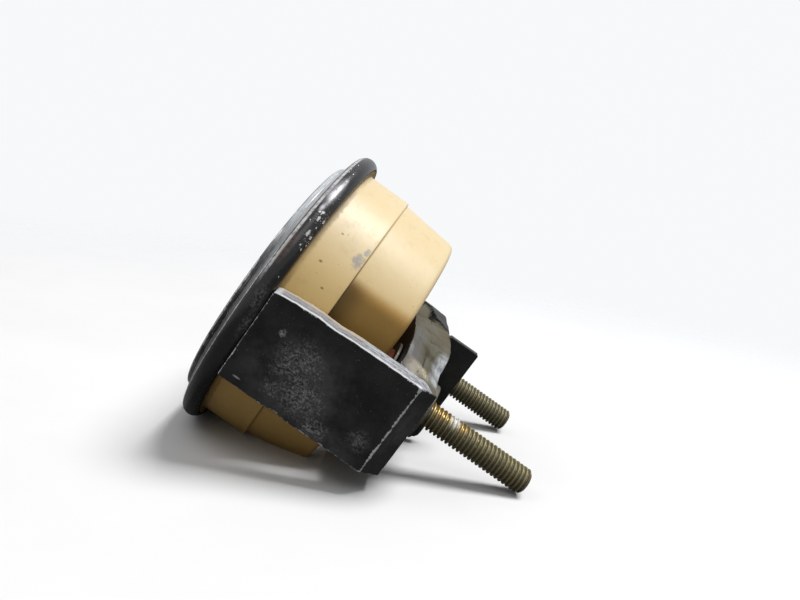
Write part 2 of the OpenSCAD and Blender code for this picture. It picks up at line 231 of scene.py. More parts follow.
@dataclass
class Shade(Graph):
    """A material's node tree, with its point in millimetres."""

    def __post_init__(self) -> None:
        """Adds the point and its coordinates, from Object coordinates."""
        self.point = self.vector("SCALE", self.term("ShaderNodeTexCoord", output="Object"), scale=1000.0)
        self.axes = self.split(self.point)

    def noise(self, scale: float, detail: float = 3.0, rough: float = 0.55, shift: float = 0.0,
              stretch: Sequence[float] = (), warp: float = 0.0) -> Term:
        """Adds a noise pattern.

        Args:
            scale: Lumps per millimetre.
            detail: Octaves.
            rough: Weight of the finer octaves.
            shift: Offset that gives another pattern.
            stretch: Scale along each axis.
            warp: Distortion.

        Returns:
            The pattern's value, 0 to 1 about 0.5.
        """
        where = self.vector("MULTIPLY", self.point, tuple(stretch)) if stretch else self.point
        if shift:
            where = self.vector("ADD", where, (shift, -shift, 0.37 * shift))
        given = {"Vector": where, "Scale": scale, "Detail": detail, "Roughness": rough, "Distortion": warp}
        return self.term("ShaderNodeTexNoise", given)

    def spot(self, centre: Spot, radii: Spot, edge: float = 0.0, weight: float = 1.0) -> Term:
        """Returns a soft mask about an ellipsoid.

        Args:
            centre: Its centre in millimetres.
            radii: Its half sizes in millimetres.
            edge: Where the fade begins, as a share of the radius.
            weight: The mask's value inside.

        Returns:
            The mask.
        """
        away = self.vector("DIVIDE", self.vector("SUBTRACT", self.point, centre), radii)
        mask = self.vector("LENGTH", away).band(1.0, edge)
        return mask if weight == 1.0 else mask * weight

    def spots(self, *given: tuple) -> Term:
        """Returns the highest of several spots, each given as spot's arguments."""
        return most(*(self.spot(*one) for one in given))

    def stroke(self, start: Place, end: Place, width: float) -> Term:
        """Returns a soft mask along a line, seen along Z, that ends this width away from it.

        Args:
            start: X and Y of one end, in millimetres.
            end: X and Y of the other end.
            width: Where the mask ends.

        Returns:
            The mask.
        """
        x, y, _ = self.axes
        run = (end[0] - start[0], end[1] - start[1], 0.0)
        off = self.vector("SUBTRACT", self.join(x, y, 0.0), (*start, 0.0))
        share = self.vector("DOT_PRODUCT", off, run)
        share = self.math("DIVIDE", share, run[0] ** 2 + run[1] ** 2, clamp=True)
        return self.vector("DISTANCE", off, self.vector("SCALE", run, scale=share)).band(width, width * 0.3)

    def relief(self, height: Term, depth: float) -> Term:
        """Returns the normal of a bump with a depth in millimetres."""
        return self.term("ShaderNodeBump", {"Strength": 1.0, "Distance": depth * MM, "Height": height})

    def finish(self, **sockets: Any) -> None:
        """Adds the surface shader; each argument fills the socket of that name, with _ for a space.

        Args:
            **sockets: What each socket gets.
        """
        given = {key.replace("_", " "): value for key, value in sockets.items()}
        shader = self.node("ShaderNodeBsdfPrincipled", given)
        self.node("ShaderNodeOutputMaterial", {"Surface": shader.outputs[0]})


def emptied(owner: Any) -> bpy.types.NodeTree:
    """Returns the node tree of a material or a world, without nodes.

    Args:
        owner: The material or the world.

    Returns:
        The empty tree.
    """
    owner.use_nodes = True
    owner.node_tree.nodes.clear()
    return owner.node_tree


# Finishes


@dataclass(frozen=True)
class Finish:
    """A finish of the object, made as a material of nodes."""

    name: str
    slot: str = ""

    def dress(self, g: Shade) -> None:
        """Fills the node tree.

        Args:
            g: The tree.
        """
        raise NotImplementedError

    def material(self) -> bpy.types.Material:
        """Returns the material, made at the first call.

        Returns:
            The material.
        """
        title = self.name + "_finish"
        if title not in bpy.data.materials:
            self.dress(Shade(emptied(bpy.data.materials.new(title))))
        return bpy.data.materials[title]


@dataclass(frozen=True)
class Enamel(Finish):
    """Gloss black enamel on spun sheet, worn bright on its creases and chipped on the rim, with painted
    highlights on the rim and a painted sheen on its upper slope.
    """

    crease: Place = (-3.2, 27.735)
    foot: Place = (-4.15, 24.95)
    shoulder: Place = (-5.05, 24.05)
    brow: Place = (-2.76, 28.16)
    chips: tuple[tuple[Spot, Spot], ...] = (
        ((-1.16, -21.98, 18.14), (0.42, 0.55, 0.55)), ((-1.15, -22.84, 17.08), (0.36, 1.0, 0.9)),
        ((-0.31, -22.26, 16.99), (0.22, 0.30, 0.25)), ((-0.57, -23.39, 15.80), (0.16, 0.30, 0.30)),
        ((-1.05, -24.43, 14.59), (0.42, 1.1, 1.1)), ((-0.33, -24.18, 14.15), (0.36, 0.55, 0.55)),
        ((-0.91, -25.42, 12.68), (0.22, 0.35, 0.30)), ((-0.41, -25.34, 12.10), (0.26, 0.40, 0.35)),
        ((-0.18, -24.67, 12.90), (0.24, 0.35, 0.30)), ((-2.33, -13.41, 25.08), (0.16, 0.35, 0.25)),
        ((-2.07, -10.11, 26.67), (0.18, 0.60, 0.25)), ((-2.51, -15.66, 23.64), (0.14, 0.35, 0.25)),
        ((-1.57, -13.61, 25.12), (0.14, 0.35, 0.20)), ((-2.42, -12.40, 25.56), (0.16, 0.40, 0.20)))

    def dress(self, g: Shade) -> None:
        """Fills the node tree.

        Args:
            g: The tree.
        """
        x, y, z = g.axes
        r = g.vector("LENGTH", g.join(0.0, y, z))

        def trace(place: Place, width: float) -> Term:
            """Returns a mask along a ring of the profile."""
            return g.vector("LENGTH", g.join(x - place[0], r - place[1], 0.0)).band(width, 0.0, soft=False)

        coarse = g.noise(0.16, 2.0)
        grain = g.noise(1.6, 5.0, 0.65)
        fine = g.noise(5.0, 3.0, 0.6, shift=7.0)

        # Bare metal: lines on the creases, and chips
        crease = trace(self.crease, 0.36) * z.band(8.0, 14.0).blend(coarse.band(0.10, 0.30), 0.2)
        foot = trace(self.foot, 0.32) * coarse.band(0.30, 0.55)
        shoulder = trace(self.shoulder, 0.46) * coarse.band(0.25, 0.50)
        lines = (most(crease, foot, shoulder) + grain * 0.9).band(0.98, 1.16)
        cluster = g.spots(
            ((-0.6, -24.4, 14.0), (2.6, 3.0, 4.4), 0.1), ((-0.9, -22.2, 17.6), (2.6, 3.0, 3.6), 0.2),
            ((-1.6, -19.0, 21.0), (2.4, 3.2, 3.2), 0.1), ((-2.4, -12.6, 25.2), (1.8, 6.0, 3.2)))
        lumps = g.noise(1.15, 3.0, 0.6, shift=3.1, stretch=(1.0, 0.7, 0.7))
        nicks = (lumps + cluster * 0.10).band(0.735, 0.755)
        flecks = (fine + cluster * 0.16).band(0.74, 0.80) * 0.7
        ragged = g.noise(2.6, 4.0, 0.7, shift=27.0) - 0.5
        chips = (g.spots(*self.chips) + ragged * 1.5).band(0.34, 0.52) * 0.85 * y.band(-9.0, -9.6)
        bare = most(lines, nicks, flecks, chips)
        worn = grain.band(0.3, 0.6).mix((0.38, 0.38, 0.38), (0.72, 0.72, 0.72))

        # Paint: dust, the upper slope rubbed grey and partly painted sheen, painted highlights on the rim,
        # smudges and rust
        dust = g.noise(0.8, 6.0, 0.7, shift=5.0).band(0.45, 0.8) * 0.55
        paint = dust.mix((0.010, 0.010, 0.011), (0.026, 0.026, 0.028))
        # The upper slope: rubbed grey paint, partly a painted sheen where it faces the light
        slope = x.band(-3.1, -3.3) * r.band(23.9, 24.15)
        streaks = g.noise(1.1, 4.0, 0.6, shift=16.0, stretch=(3.0, 0.5, 0.5)).band(0.35, 0.65)
        rubbed = z.band(0.0, 19.0) * y.band(8.0, -10.0)
        share = coarse.band(0.35, 0.65).blend(streaks * 0.35, streaks)
        share = rubbed.blend(share, streaks.blend(0.72, 1.0))
        paint = (slope * share).mix(paint, rubbed.mix((0.15, 0.15, 0.147), (0.62, 0.64, 0.66)))
        # Painted highlight along the rim's upper shoulder, below the crease
        painted_shoulder_highlight = trace(self.brow, 0.42).band(0.0, 0.6) * z.band(4.0, 9.0) * y.band(2.0, -8.0)
        paint = (painted_shoulder_highlight * grain.band(0.36, 0.56).blend(0.35, 1.0) * 0.85).mix(paint, (0.74, 0.73, 0.72))
        # Painted highlight on the rolled rim, broken up by noise
        painted_rim_highlight = g.spots(
            ((-1.8, -19.3, 21.0), (0.95, 2.6, 2.6)), ((-1.8, -18.6, 21.6), (1.3, 5.0, 5.0), 0.0, 0.5),
            ((-1.8, -21.6, 18.7), (0.5, 1.4, 1.4), 0.0, 0.8))
        dull = g.noise(2.0, 4.0, 0.65, shift=19.0, stretch=(1.6, 0.6, 0.6)).band(0.3, 0.6)
        paint = (painted_rim_highlight * dull.blend(0.7, 1.1) * 0.95).mix(paint, (0.78, 0.78, 0.84))
        smudge = g.spots(((-1.3, -28.3, 3.0), (1.3, 2.0, 4.0)), ((-0.7, -28.3, -1.0), (1.0, 2.0, 4.5)))
        smudge = smudge * g.noise(2.2, 5.0, 0.7, shift=23.0).band(0.44, 0.62)
        paint = (smudge * 0.75).mix(paint, (0.20, 0.20, 0.205))
        rust = g.noise(0.5, 3.0, 0.6, shift=11.0).band(0.6, 0.72) * (trace(self.crease, 1.6) * 0.8)
        rust = most(rust, g.spot((-2.2, -26.0, 11.0), (0.9, 2.5, 6.5)) * grain.band(0.35, 0.6))
        paint = rust.mix(paint, (0.10, 0.055, 0.035))
        g.finish(
            Base_Color=bare.mix(paint, worn),
            Metallic=bare * 0.45,
            Roughness=bare.blend(dust.blend(0.24, 0.52), 0.36),
            Normal=g.relief(g.noise(2.2, 4.0, 0.6, shift=1.0) * 0.35 - bare, 0.05))


@dataclass(frozen=True)
class Cream(Finish):
    """Yellowed semi-gloss cream moulding with faint mottling, specks, grime, a grey rub and a dark step line,
    and painted shade in its step, at the bezel, under the bezel's rim, underneath and on its flat sides.
    """

    step_x: float = 8.4
    step_r: float = 25.6
    # Colour of grime and of painted shade
    dirt_and_shade: Colour = (0.075, 0.045, 0.022)
    # Amber of painted shade, on the underside and the flat sides
    painted_shade_amber: Colour = (0.62, 0.35, 0.085)
    marks: tuple[tuple[Spot, Spot], ...] = (
        ((2.93, -19.74, 16.92), (0.35, 0.5, 0.22)), ((2.76, -23.07, 11.99), (0.45, 0.4, 0.3)),
        ((5.35, -24.40, 8.97), (0.4, 0.4, 0.25)), ((9.62, -18.51, 16.81), (0.32, 0.4, 0.3)))

    def dress(self, g: Shade) -> None:
        """Fills the node tree.

        Args:
            g: The tree.
        """
        x, y, z = g.axes
        r = g.vector("LENGTH", g.join(0.0, y, z))
        cloud = g.noise(0.075, 3.0, 0.5)
        mottle = g.noise(0.8, 4.0, 0.6, shift=2.0)

        # The plastic, with painted shade: darker and warmer towards the underside
        tone = (cloud * 0.75 + mottle * 0.25).band(0.3, 0.7)
        colour = tone.mix((0.790, 0.622, 0.352), (0.815, 0.675, 0.430))
        colour = z.band(21.0, 5.0).mix(colour, (0.800, 0.555, 0.215))
        colour = (z.band(0.0, -12.0) * 0.6).mix(colour, self.painted_shade_amber)

        # Specks and the grey rub beside the step
        specks = g.noise(1.9, 2.0, 0.5, shift=8.0).band(0.745, 0.775)
        marks = most(specks, *(g.spot(place, size, 0.2) for place, size in self.marks))
        colour = (marks * 0.85).mix(colour, (0.16, 0.10, 0.05))
        rub = g.spots(((7.4, -21.2, 15.1), (1.6, 2.4, 2.8)), ((7.8, -19.8, 16.8), (0.9, 1.6, 1.8)))
        ragged = g.noise(1.1, 4.0, 0.7, shift=31.0) + g.noise(2.8, 3.0, 0.6, shift=33.0) * 0.8
        rub = (rub + (ragged - 0.9) * 1.5).band(0.22, 1.0) * g.spot((7.5, -21.0, 15.4), (2.8, 3.6, 3.6), 0.5)
        colour = (rub * 0.85).mix(colour, (0.34, 0.33, 0.33))

        # Grime in faint patches, a dark step line with painted shade, grime and painted shade at the bezel,
        # painted shade under its rim and on the flat sides
        # A dark line in the step, with painted shade that is stronger lower down
        step_line_and_shade = abs(x - (self.step_x + 0.05)).band(0.20, 0.05) * r.band(self.step_r + 0.25, self.step_r - 0.1)
        step_line_and_shade = step_line_and_shade * abs(z).band(11.0, 21.0).blend(0.75, 0.30)
        # Grime and painted shade along the bezel's edge
        shade = x.band(1.5, 0.1) + g.noise(1.1, 4.0, 0.7, shift=12.0) * 1.2
        shade = shade.band(0.95, 1.5) * cloud.band(0.35, 0.6)
        # Painted shade in the corner under the bezel's rim
        shade_under_rim = r.band(26.02, 26.12) * x.band(0.3, 0.1)
        grime = g.noise(0.28, 5.0, 0.65, shift=4.0).band(0.52, 0.76) * 0.12
        stain_and_shade = most(step_line_and_shade, shade * 0.42, grime, shade_under_rim * 0.72)
        colour = stain_and_shade.mix(colour, self.dirt_and_shade)
        # Painted shade on the flat sides, with a painted shadow of the step near it
        flat = abs(y).band(22.9, 22.4) * x.band(self.step_x, self.step_x + 0.3) * abs(z).band(13.4, 11.2)
        colour = (flat * 0.9).mix(colour, self.painted_shade_amber)
        colour = (flat * x.band(self.step_x + 4.5, self.step_x) * 0.62).mix(colour, self.dirt_and_shade)
        scratch = g.noise(0.55, 3.0, 0.6, shift=6.0, stretch=(7.0, 1.0, 1.0)).band(0.62, 0.7)
        g.finish(
            Base_Color=colour,
            Specular_IOR_Level=0.36,
            Roughness=stain_and_shade.blend(mottle.blend(0.32, 0.46), 0.75),
            Normal=g.relief(mottle * 0.7 + scratch * -0.5, 0.022))


@dataclass(frozen=True)
class Casting(Finish):
    """Satin black paint on a grey casting: scuffed, worn white on its edges and bare where it broke.

    The mesh gives the distance to the nearest worn edge in millimetres as "rim", and the broken share
    as "torn".
    """

    worn: Colour = (0.80, 0.82, 0.84)
    # Pale bluish bare metal, partly a painted sheen
    frost_and_sheen: Colour = (0.74, 0.79, 0.86)
    leg_y: float = -27.8
    leg_t: float = 2.25
    saw_lines: tuple[tuple[float, ...], ...] = (
        (0.34, 0.05, 0.8, -5.0), (0.60, 0.05, 0.75, 12.0), (0.47, 0.035, 0.6, 17.0))
    # Cracks of the broken web, darkened with painted shade: start, end, width and strength
    cracks: tuple[tuple[Place, Place, float, float], ...] = (
        ((24.26, -5.8), (25.04, -8.4), 0.16, 0.6), ((25.04, -8.4), (25.29, -11.94), 0.14, 0.45),
        ((25.29, -11.94), (27.16, -10.79), 0.17, 0.9), ((25.6, -15.0), (25.47, -17.34), 0.24, 0.75),
        ((25.47, -17.34), (25.39, -20.47), 0.30, 0.95), ((27.19, -12.95), (28.26, -12.4), 0.16, 0.7),
        ((22.0, -24.6), (25.44, -25.2), 0.16, 0.9), ((25.44, -25.2), (27.4, -26.2), 0.12, 0.7),
        ((26.4, 20.0), (25.45, 7.9), 0.60, 1.0), ((25.45, 7.9), (25.2, 2.0), 0.22, 0.7),
        ((23.2, -9.0), (23.0, -17.5), 0.12, 0.3))

    def cut(self, g: Shade, grain: Term) -> Term:
        """Returns the colour of the leg's cut top: a white outer line, dark lines, a beige inner rim, pale
        bluish metal towards the rear that is partly painted sheen, and a painted highlight on its rear
        corner.

        Args:
            g: The tree to add to.
            grain: Fine noise.

        Returns:
            The colour.
        """
        x, y, _ = g.axes
        share = (y - self.leg_y) / self.leg_t + (g.noise(0.5, 3.0, 0.6, shift=21.0) - 0.5) * 0.16
        speckle = g.noise(2.4, 4.0, 0.65, shift=15.0, stretch=(0.35, 2.2, 1.0)).band(0.40, 0.62)
        colour = speckle.mix((0.19, 0.19, 0.20), (0.33, 0.325, 0.33))
        beige = grain.mix((0.36, 0.29, 0.20), (0.56, 0.47, 0.35))
        colour = (share.band(0.66, 0.82) * x.band(18.0, 13.0)).mix(colour, beige)
        # Towards the rear, pale bluish metal, partly a painted sheen
        colour = (x.band(13.0, 19.0) * speckle.blend(0.06, 0.42)).mix(colour, self.frost_and_sheen)
        for at, width, depth, start in self.saw_lines:
            line = abs(share - at).band(width, width * 0.3) * x.band(start, start + 2.0)
            line = line * grain.band(0.36, 0.5)
            colour = (line * depth).mix(colour, (0.10, 0.10, 0.115))
        colour = share.band(0.19, 0.13).mix(colour, (0.62, 0.63, 0.64))
        # Painted highlight on the leg's rear top corner
        colour = g.spot((26.2, -27.7, 6.2), (1.3, 0.7, 1.0), 0.1, 0.9).mix(colour, (0.86, 0.89, 0.93))
        return x.band(1.5, 0.6).mix(colour, (0.50, 0.52, 0.50))

    def fracture(self, g: Shade, grain: Term) -> Term:
        """Returns the colour of the broken web: olive-grey facets, pale bluish metal that is partly painted
        sheen, sand, straw, and cracks darkened with painted shade.

        Args:
            g: The tree to add to.
            grain: Fine noise.

        Returns:
            The colour.
        """
        x, y, _ = g.axes
        facet = g.noise(0.30, 4.0, 0.6, shift=3.0, stretch=(1.0, 0.7, 1.6), warp=0.5).band(0.40, 0.60)
        colour = facet.mix((0.086, 0.074, 0.040), (0.106, 0.098, 0.070))
        colour = (x.band(25.2, 23.4) * y.band(-4.0, -14.0)).mix(colour, (0.120, 0.114, 0.102))
        streak = g.noise(1.0, 5.0, 0.65, shift=6.0, stretch=(1.3, 0.35, 0.8))
        # Pale bluish metal near the web's rear edge, partly a painted sheen
        frost_and_sheen = g.spots(
            ((28.9, -15.2, 7.6), (2.2, 5.4, 3.6), 0.25), ((28.4, -19.8, 6.2), (2.0, 2.4, 2.4), 0.1),
            ((22.0, -20.5, 8.4), (0.9, 4.0, 2.4), 0.1, 0.35))
        frost_and_sheen = frost_and_sheen * (streak * 0.55 + grain * 0.45).band(0.28, 0.56)
        colour = (frost_and_sheen * 0.60).mix(colour, self.frost_and_sheen)
        sand = g.spot((24.0, -23.6, 7.2), (2.6, 2.8, 2.4), 0.2) * streak.band(0.28, 0.5)
        colour = (sand * 0.8).mix(colour, (0.40, 0.36, 0.30))
        straw = g.spot((25.8, -22.0, 6.6), (2.4, 2.2, 2.2), 0.2) * grain.band(0.35, 0.55)
        colour = (straw * 0.8).mix(colour, (0.60, 0.54, 0.38))
        dark = g.noise(2.6, 4.0, 0.65, shift=17.0, stretch=(1.0, 0.6, 1.0)).band(0.52, 0.66)
        depth = g.spot((26.4, -24.6, 6.2), (2.6, 2.8, 2.6), 0.2).blend(0.3, 0.75)
        colour = (dark * depth).mix(colour, (0.09, 0.08, 0.07))
        # Painted shade in the cracks and the notch
        for start, end, width, depth in self.cracks:
            line = g.stroke(start, end, width) * grain.band(0.30, 0.48)
            colour = (line * depth).mix(colour, (0.035, 0.030, 0.026))
        return colour

    def scuffs(self, g: Shade) -> Term:
        """Returns how chalky the paint is: rubbed patches on the near leg, and elsewhere specks and a pale
        layer that is partly dust and partly painted sheen.

        Args:
            g: The tree to add to.

        Returns:
            The share of chalk.
        """
        patch = g.spots(
            ((9.6, -27.8, -2.2), (6.4, 2.0, 6.2), 0.1), ((12.4, -27.8, -6.0), (6.6, 2.0, 5.0), 0.1),
            ((8.0, -27.8, -7.4), (3.0, 2.0, 2.4)), ((16.6, -27.8, -8.8), (3.8, 2.0, 2.6), 0.1),
            ((23.2, -27.8, -6.4), (3.0, 2.0, 3.0), 0.0, 0.6), ((9.0, 27.8, 2.0), (9.0, 2.0, 7.0), 0.0, 0.7),
            ((29.4, 8.0, -4.0), (2.0, 9.0, 5.0), 0.0, 0.5))
        lines = g.noise(1.6, 5.0, 0.7, shift=18.0, stretch=(0.5, 1.0, 2.6), warp=0.3).band(0.46, 0.66)
        rubbed = g.noise(2.9, 3.0, 0.7, shift=9.0, warp=0.4).band(0.38, 0.68) + lines * 0.5
        rubbed = rubbed * g.noise(0.9, 3.0, 0.6, shift=14.0).band(0.34, 0.60).blend(0.55, 1.0)
        nick = g.spot((2.7, -27.8, -9.0), (0.9, 2.0, 0.22), 0.3, 0.8)
        bright = g.spot((4.6, -27.8, 0.7), (0.85, 2.0, 1.0)) * g.noise(2.6, 3.0, 0.6).band(0.40, 0.62)
        # A pale layer, partly dust and partly painted sheen, strongest on the near leg
        sheen_spots = g.spots(
            ((10.5, -27.8, -4.0), (12.0, 2.0, 9.5), 0.1, 1.5), ((28.0, -26.0, -2.0), (4.0, 4.0, 9.0)),
            ((19.0, -27.8, -10.0), (7.0, 2.0, 4.0), 0.3))
        film_and_sheen = g.noise(0.22, 5.0, 0.65, shift=2.0).band(0.30, 0.70) * sheen_spots.blend(0.035, 0.15)
        specks = g.noise(3.6, 2.0, 0.5, shift=12.0).band(0.69, 0.74) * 0.22
        return most(rubbed * patch * 0.60, nick, bright * 0.9, film_and_sheen, specks)

    def dress(self, g: Shade) -> None:
        """Fills the node tree.

        Args:
            g: The tree.
        """
        _, y, z = g.axes
        rim, torn = (
            g.term("ShaderNodeAttribute", output="Fac", attribute_name=name) for name in ("rim", "torn"))
        grain = g.noise(2.2, 5.0, 0.65)
        width = (g.noise(0.30, 3.0, 0.6, shift=1.0) - 0.5) * 0.6 + (grain - 0.5) * 0.6
        wear = (width + 0.085 - rim).band(-0.03, 0.04)
        pale = self.scuffs(g)
        paint = pale.mix((0.0080, 0.0080, 0.0085), (0.52, 0.52, 0.51))
        paint = wear.mix(paint, grain.band(0.3, 0.6).mix((0.40, 0.41, 0.42), self.worn))
        broken = y.band(-25.2, -25.5).mix(self.fracture(g, grain), self.cut(g, grain))
        # Pale along worn edges of the broken parts; on the web's rounded rear edge this is also a painted
        # highlight
        broken = (rim.band(0.20, 0.05) * grain.band(0.30, 0.45) * 0.75).mix(broken, self.worn)
        bare = (torn + (grain - 0.5) * 0.5).band(0.42, 0.58)
        crest = z.band(9.0, 9.6) * y.band(2.0, 6.0)
        g.finish(
            Base_Color=bare.mix(paint, broken),
            Metallic=wear * 0.3,
            Specular_IOR_Level=crest.blend(0.28, 0.08),
            Roughness=bare.blend(pale.blend(grain.blend(0.30, 0.46), 0.85), 0.62),
            Normal=g.relief(g.noise(1.3, 5.0, 0.6, shift=1.0) * bare.blend(0.45, 0.9) + wear * -0.4, 0.07))


@dataclass(frozen=True)
class Metal(Finish):
    """A plated or bare metal with tarnish in patches, fine marks along its lay, grime in patches and painted
    shade past a depth.
    """

    bright: Colour = (0.6, 0.6, 0.6)
    dull: Colour = (0.2, 0.2, 0.2)
    roughness: Place = (0.3, 0.55)
    tarnish: float = 0.5
    lay: Spot = (1.0, 1.0, 1.0)
    dirty: float = 0.25
    grain_mm: float = 0.02
    shaded_past_x: float = 99.0

    def dress(self, g: Shade) -> None:
        """Fills the node tree.

        Args:
            g: The tree.
        """
        fine = g.noise(3.0, 4.0, 0.65, shift=4.0, stretch=self.lay)
        middle = 0.5 + 0.25 * (0.5 - self.tarnish)
        dulled = (g.noise(0.35, 4.0, 0.6) * 0.7 + fine * 0.3).band(middle - 0.1, middle + 0.1)
        darkening = g.noise(1.3, 5.0, 0.7, shift=9.0).band(0.5, 0.75) * self.dirty
        # Painted shade past a depth, as in a screw's slot
        darkening = most(darkening, g.axes[0].band(self.shaded_past_x, self.shaded_past_x + 0.1) * 0.9)
        g.finish(
            Base_Color=darkening.mix(dulled.mix(self.bright, self.dull), (0.05, 0.045, 0.035)),
            Metallic=darkening.blend(dulled.blend(0.95, 0.7), 0.2),
            Roughness=dulled.blend(*self.roughness),
            Normal=g.relief(fine, self.grain_mm))


@dataclass(frozen=True)
class Zinc(Finish):
    """Yellow passivated zinc on a threaded stud: gold where it is rubbed, olive and dirty elsewhere."""

    gold: Colour = (0.62, 0.43, 0.13)
    olive: Colour = (0.27, 0.235, 0.125)
    crest_r: float = 2.415
    root_r: float = 1.93
    stud_y: float = 15.6
    daubed: bool = True

    def dress(self, g: Shade) -> None:
        """Fills the node tree.

        Args:
            g: The tree.
        """
        _, y, z = g.axes
        r = g.vector("LENGTH", g.join(0.0, abs(y) - self.stud_y, z))
        fine = g.noise(2.8, 4.0, 0.65, shift=6.0)
        rubbed = most(
            g.spot((33.0, -15.6, 1.6), (3.8, 3.0, 2.6), 0.2),
            g.spot((37.6, -15.6, 1.8), (1.8, 3.0, 2.2), 0.2),
            g.noise(0.42, 4.0, 0.6, shift=2.5).band(0.56, 0.72) * 0.5)
        colour = rubbed.mix(fine.mix(self.olive, (0.34, 0.30, 0.17)), self.gold)
        # Darker towards the thread roots, and in dirty patches
        darkening = r.band(self.crest_r - 0.1, self.root_r) * fine.band(0.25, 0.55)
        darkening = most(darkening, g.noise(1.0, 4.0, 0.65, shift=13.0).band(0.52, 0.7) * 0.45)
        colour = (darkening * 0.85).mix(colour, (0.035, 0.03, 0.02))
        metal = darkening.blend(0.8, 0.2)
        if self.daubed:
            daub = g.spot((36.0, -15.6, 1.6), (1.5, 2.6, 2.4), 0.3) * fine.band(0.36, 0.5) * z.band(-0.2, 0.8)
            colour = daub.mix(colour, (0.80, 0.79, 0.76))
            metal = daub.blend(metal, 0.0)
        g.finish(
            Base_Color=colour,
            Metallic=metal,
            Roughness=rubbed.blend(fine.blend(0.42, 0.6), 0.28),
            Normal=g.relief(fine, 0.02))


@dataclass(frozen=True)
class Moulding(Finish):
    """A dull filled material, such as rubber, fibre or matt paint, with fine grain."""

    tint: Colour = (0.1, 0.1, 0.1)
    pale: Colour = (0.2, 0.2, 0.2)
    roughness: Place = (0.6, 0.8)
    scale: float = 1.5
    grain_mm: float = 0.02
    sheen: float = 0.5

    def dress(self, g: Shade) -> None:
        """Fills the node tree.

        Args:
            g: The tree.
        """
        fine = g.noise(self.scale, 5.0, 0.65)
        tone = fine * 0.5 + g.noise(self.scale * 0.2, 3.0, 0.5, shift=5.0) * 0.5
        g.finish(
            Base_Color=tone.band(0.35, 0.7).mix(self.tint, self.pale),
            Specular_IOR_Level=self.sheen,
            Roughness=fine.blend(*self.roughness),
            Normal=g.relief(fine, self.grain_mm))


@dataclass(frozen=True)
class Glass(Finish):
    """Clear glass with a little dust."""

    def dress(self, g: Shade) -> None:
        """Fills the node tree.

        Args:
            g: The tree.
        """
        g.finish(
            Base_Color=(0.965, 0.985, 0.98),
            Roughness=g.noise(0.5, 6.0, 0.7).band(0.45, 0.8).blend(0.0, 0.09),
            IOR=1.42,
            Transmission_Weight=1.0,
            Normal=g.relief(g.noise(0.1, 2.0), 0.01))


ENAMEL = Enamel("black_enamel")
CREAM = Cream("cream_plastic")
CASTING = Casting("black_casting")
NEAR_ZINC = Zinc("yellow_zinc")
FAR_ZINC = Zinc("tarnished_zinc", "yellow_zinc", gold=(0.42, 0.34, 0.15), olive=(0.22, 0.20, 0.12),
                daubed=False)
STEEL = Metal("plain_steel", bright=(0.56, 0.56, 0.55), dull=(0.33, 0.33, 0.32))
DULL_STEEL = Metal("dull_steel", "plain_steel", bright=(0.19, 0.18, 0.145), dull=(0.11, 0.105, 0.08),
                   tarnish=0.6, roughness=(0.42, 0.6))
DIRTY_STEEL = Metal("dirty_steel", "plain_steel", bright=(0.125, 0.118, 0.092), dull=(0.07, 0.065, 0.05),
                    tarnish=0.6, roughness=(0.45, 0.65), dirty=0.6)
BRASS = Metal("brass", bright=(0.74, 0.53, 0.22), dull=(0.45, 0.31, 0.13), lay=(1.0, 1.0, 6.0), dirty=0.15)
# Brass whose screw slots get painted shade
SLOTTED = Metal("slotted_brass", "brass", bright=(0.74, 0.53, 0.22), dull=(0.45, 0.31, 0.13), shaded_past_x=1.45)
COPPER = Metal("copper", bright=(0.78, 0.38, 0.22), dull=(0.40, 0.18, 0.10), lay=(1.0, 0.3, 5.0))
MAGNET = Metal("magnet_steel", bright=(0.15, 0.15, 0.16), dull=(0.07, 0.07, 0.075), roughness=(0.5, 0.7),
               grain_mm=0.06)
FIBRE = Moulding("red_fibre", tint=(0.11, 0.024, 0.010), pale=(0.17, 0.045, 0.020), scale=2.0, sheen=0.12)
BUSH = Moulding("bush_fibre", tint=(0.025, 0.018, 0.014), pale=(0.07, 0.05, 0.04), scale=2.0)
RUBBER = Moulding("gasket_rubber", tint=(0.02, 0.02, 0.02), pale=(0.05, 0.05, 0.05))
DIAL_BLACK = Moulding("dial_black", tint=(0.010, 0.010, 0.011), pale=(0.020, 0.020, 0.021), scale=4.0,
                      roughness=(0.55, 0.7), grain_mm=0.008)
WHITE = Moulding("pointer_white", tint=(0.74, 0.71, 0.62), pale=(0.86, 0.84, 0.77), roughness=(0.45, 0.6),
                 scale=3.0, grain_mm=0.01)
GLASS = Glass("glass")
KEPT_NODES = {
    "lens": GLASS, "lens_gasket": RUBBER, "spacer_ring": DIAL_BLACK, "dial_plate": DIAL_BLACK,
    "pointer_stops": STEEL, "dial_spacers": BRASS, "movement_base": BRASS, "base_screws": STEEL,
    "pillars": BRASS, "bridge": BRASS, "front_bearing": BRASS, "rear_bearing": BRASS, "magnet": MAGNET,
    "conductor_bar": COPPER, "pointer": WHITE, "pointer_hub": DIAL_BLACK, "staff": STEEL,
    "counterweight": BRASS, "armature_vane": STEEL}


# Meshes


def along(profile: Sequence[Place], at: float) -> float:
    """Returns a profile's value at a place, on straight lines between its points."""
    return float(np.interp(at, *zip(*profile)))


def ease(value: float, low: float, high: float) -> float:
    """Maps a value from low..high to 0..1 with a soft start and end."""
    t = min(1.0, max(0.0, (value - low) / (high - low)))
    return t * t * (3 - 2 * t)


def gap(place: Place, start: Place, end: Place) -> float:
    """Returns the distance from a place to a line between two others.

    Args:
        place: The place.
        start: One end of the line.
        end: The other end.

    Returns:
        The distance.
    """
    run = (end[0] - start[0], end[1] - start[1])
    off = (place[0] - start[0], place[1] - start[1])
    t = min(1.0, max(0.0, (off[0] * run[0] + off[1] * run[1]) / (run[0] ** 2 + run[1] ** 2)))
    return math.hypot(off[0] - run[0] * t, off[1] - run[1] * t)


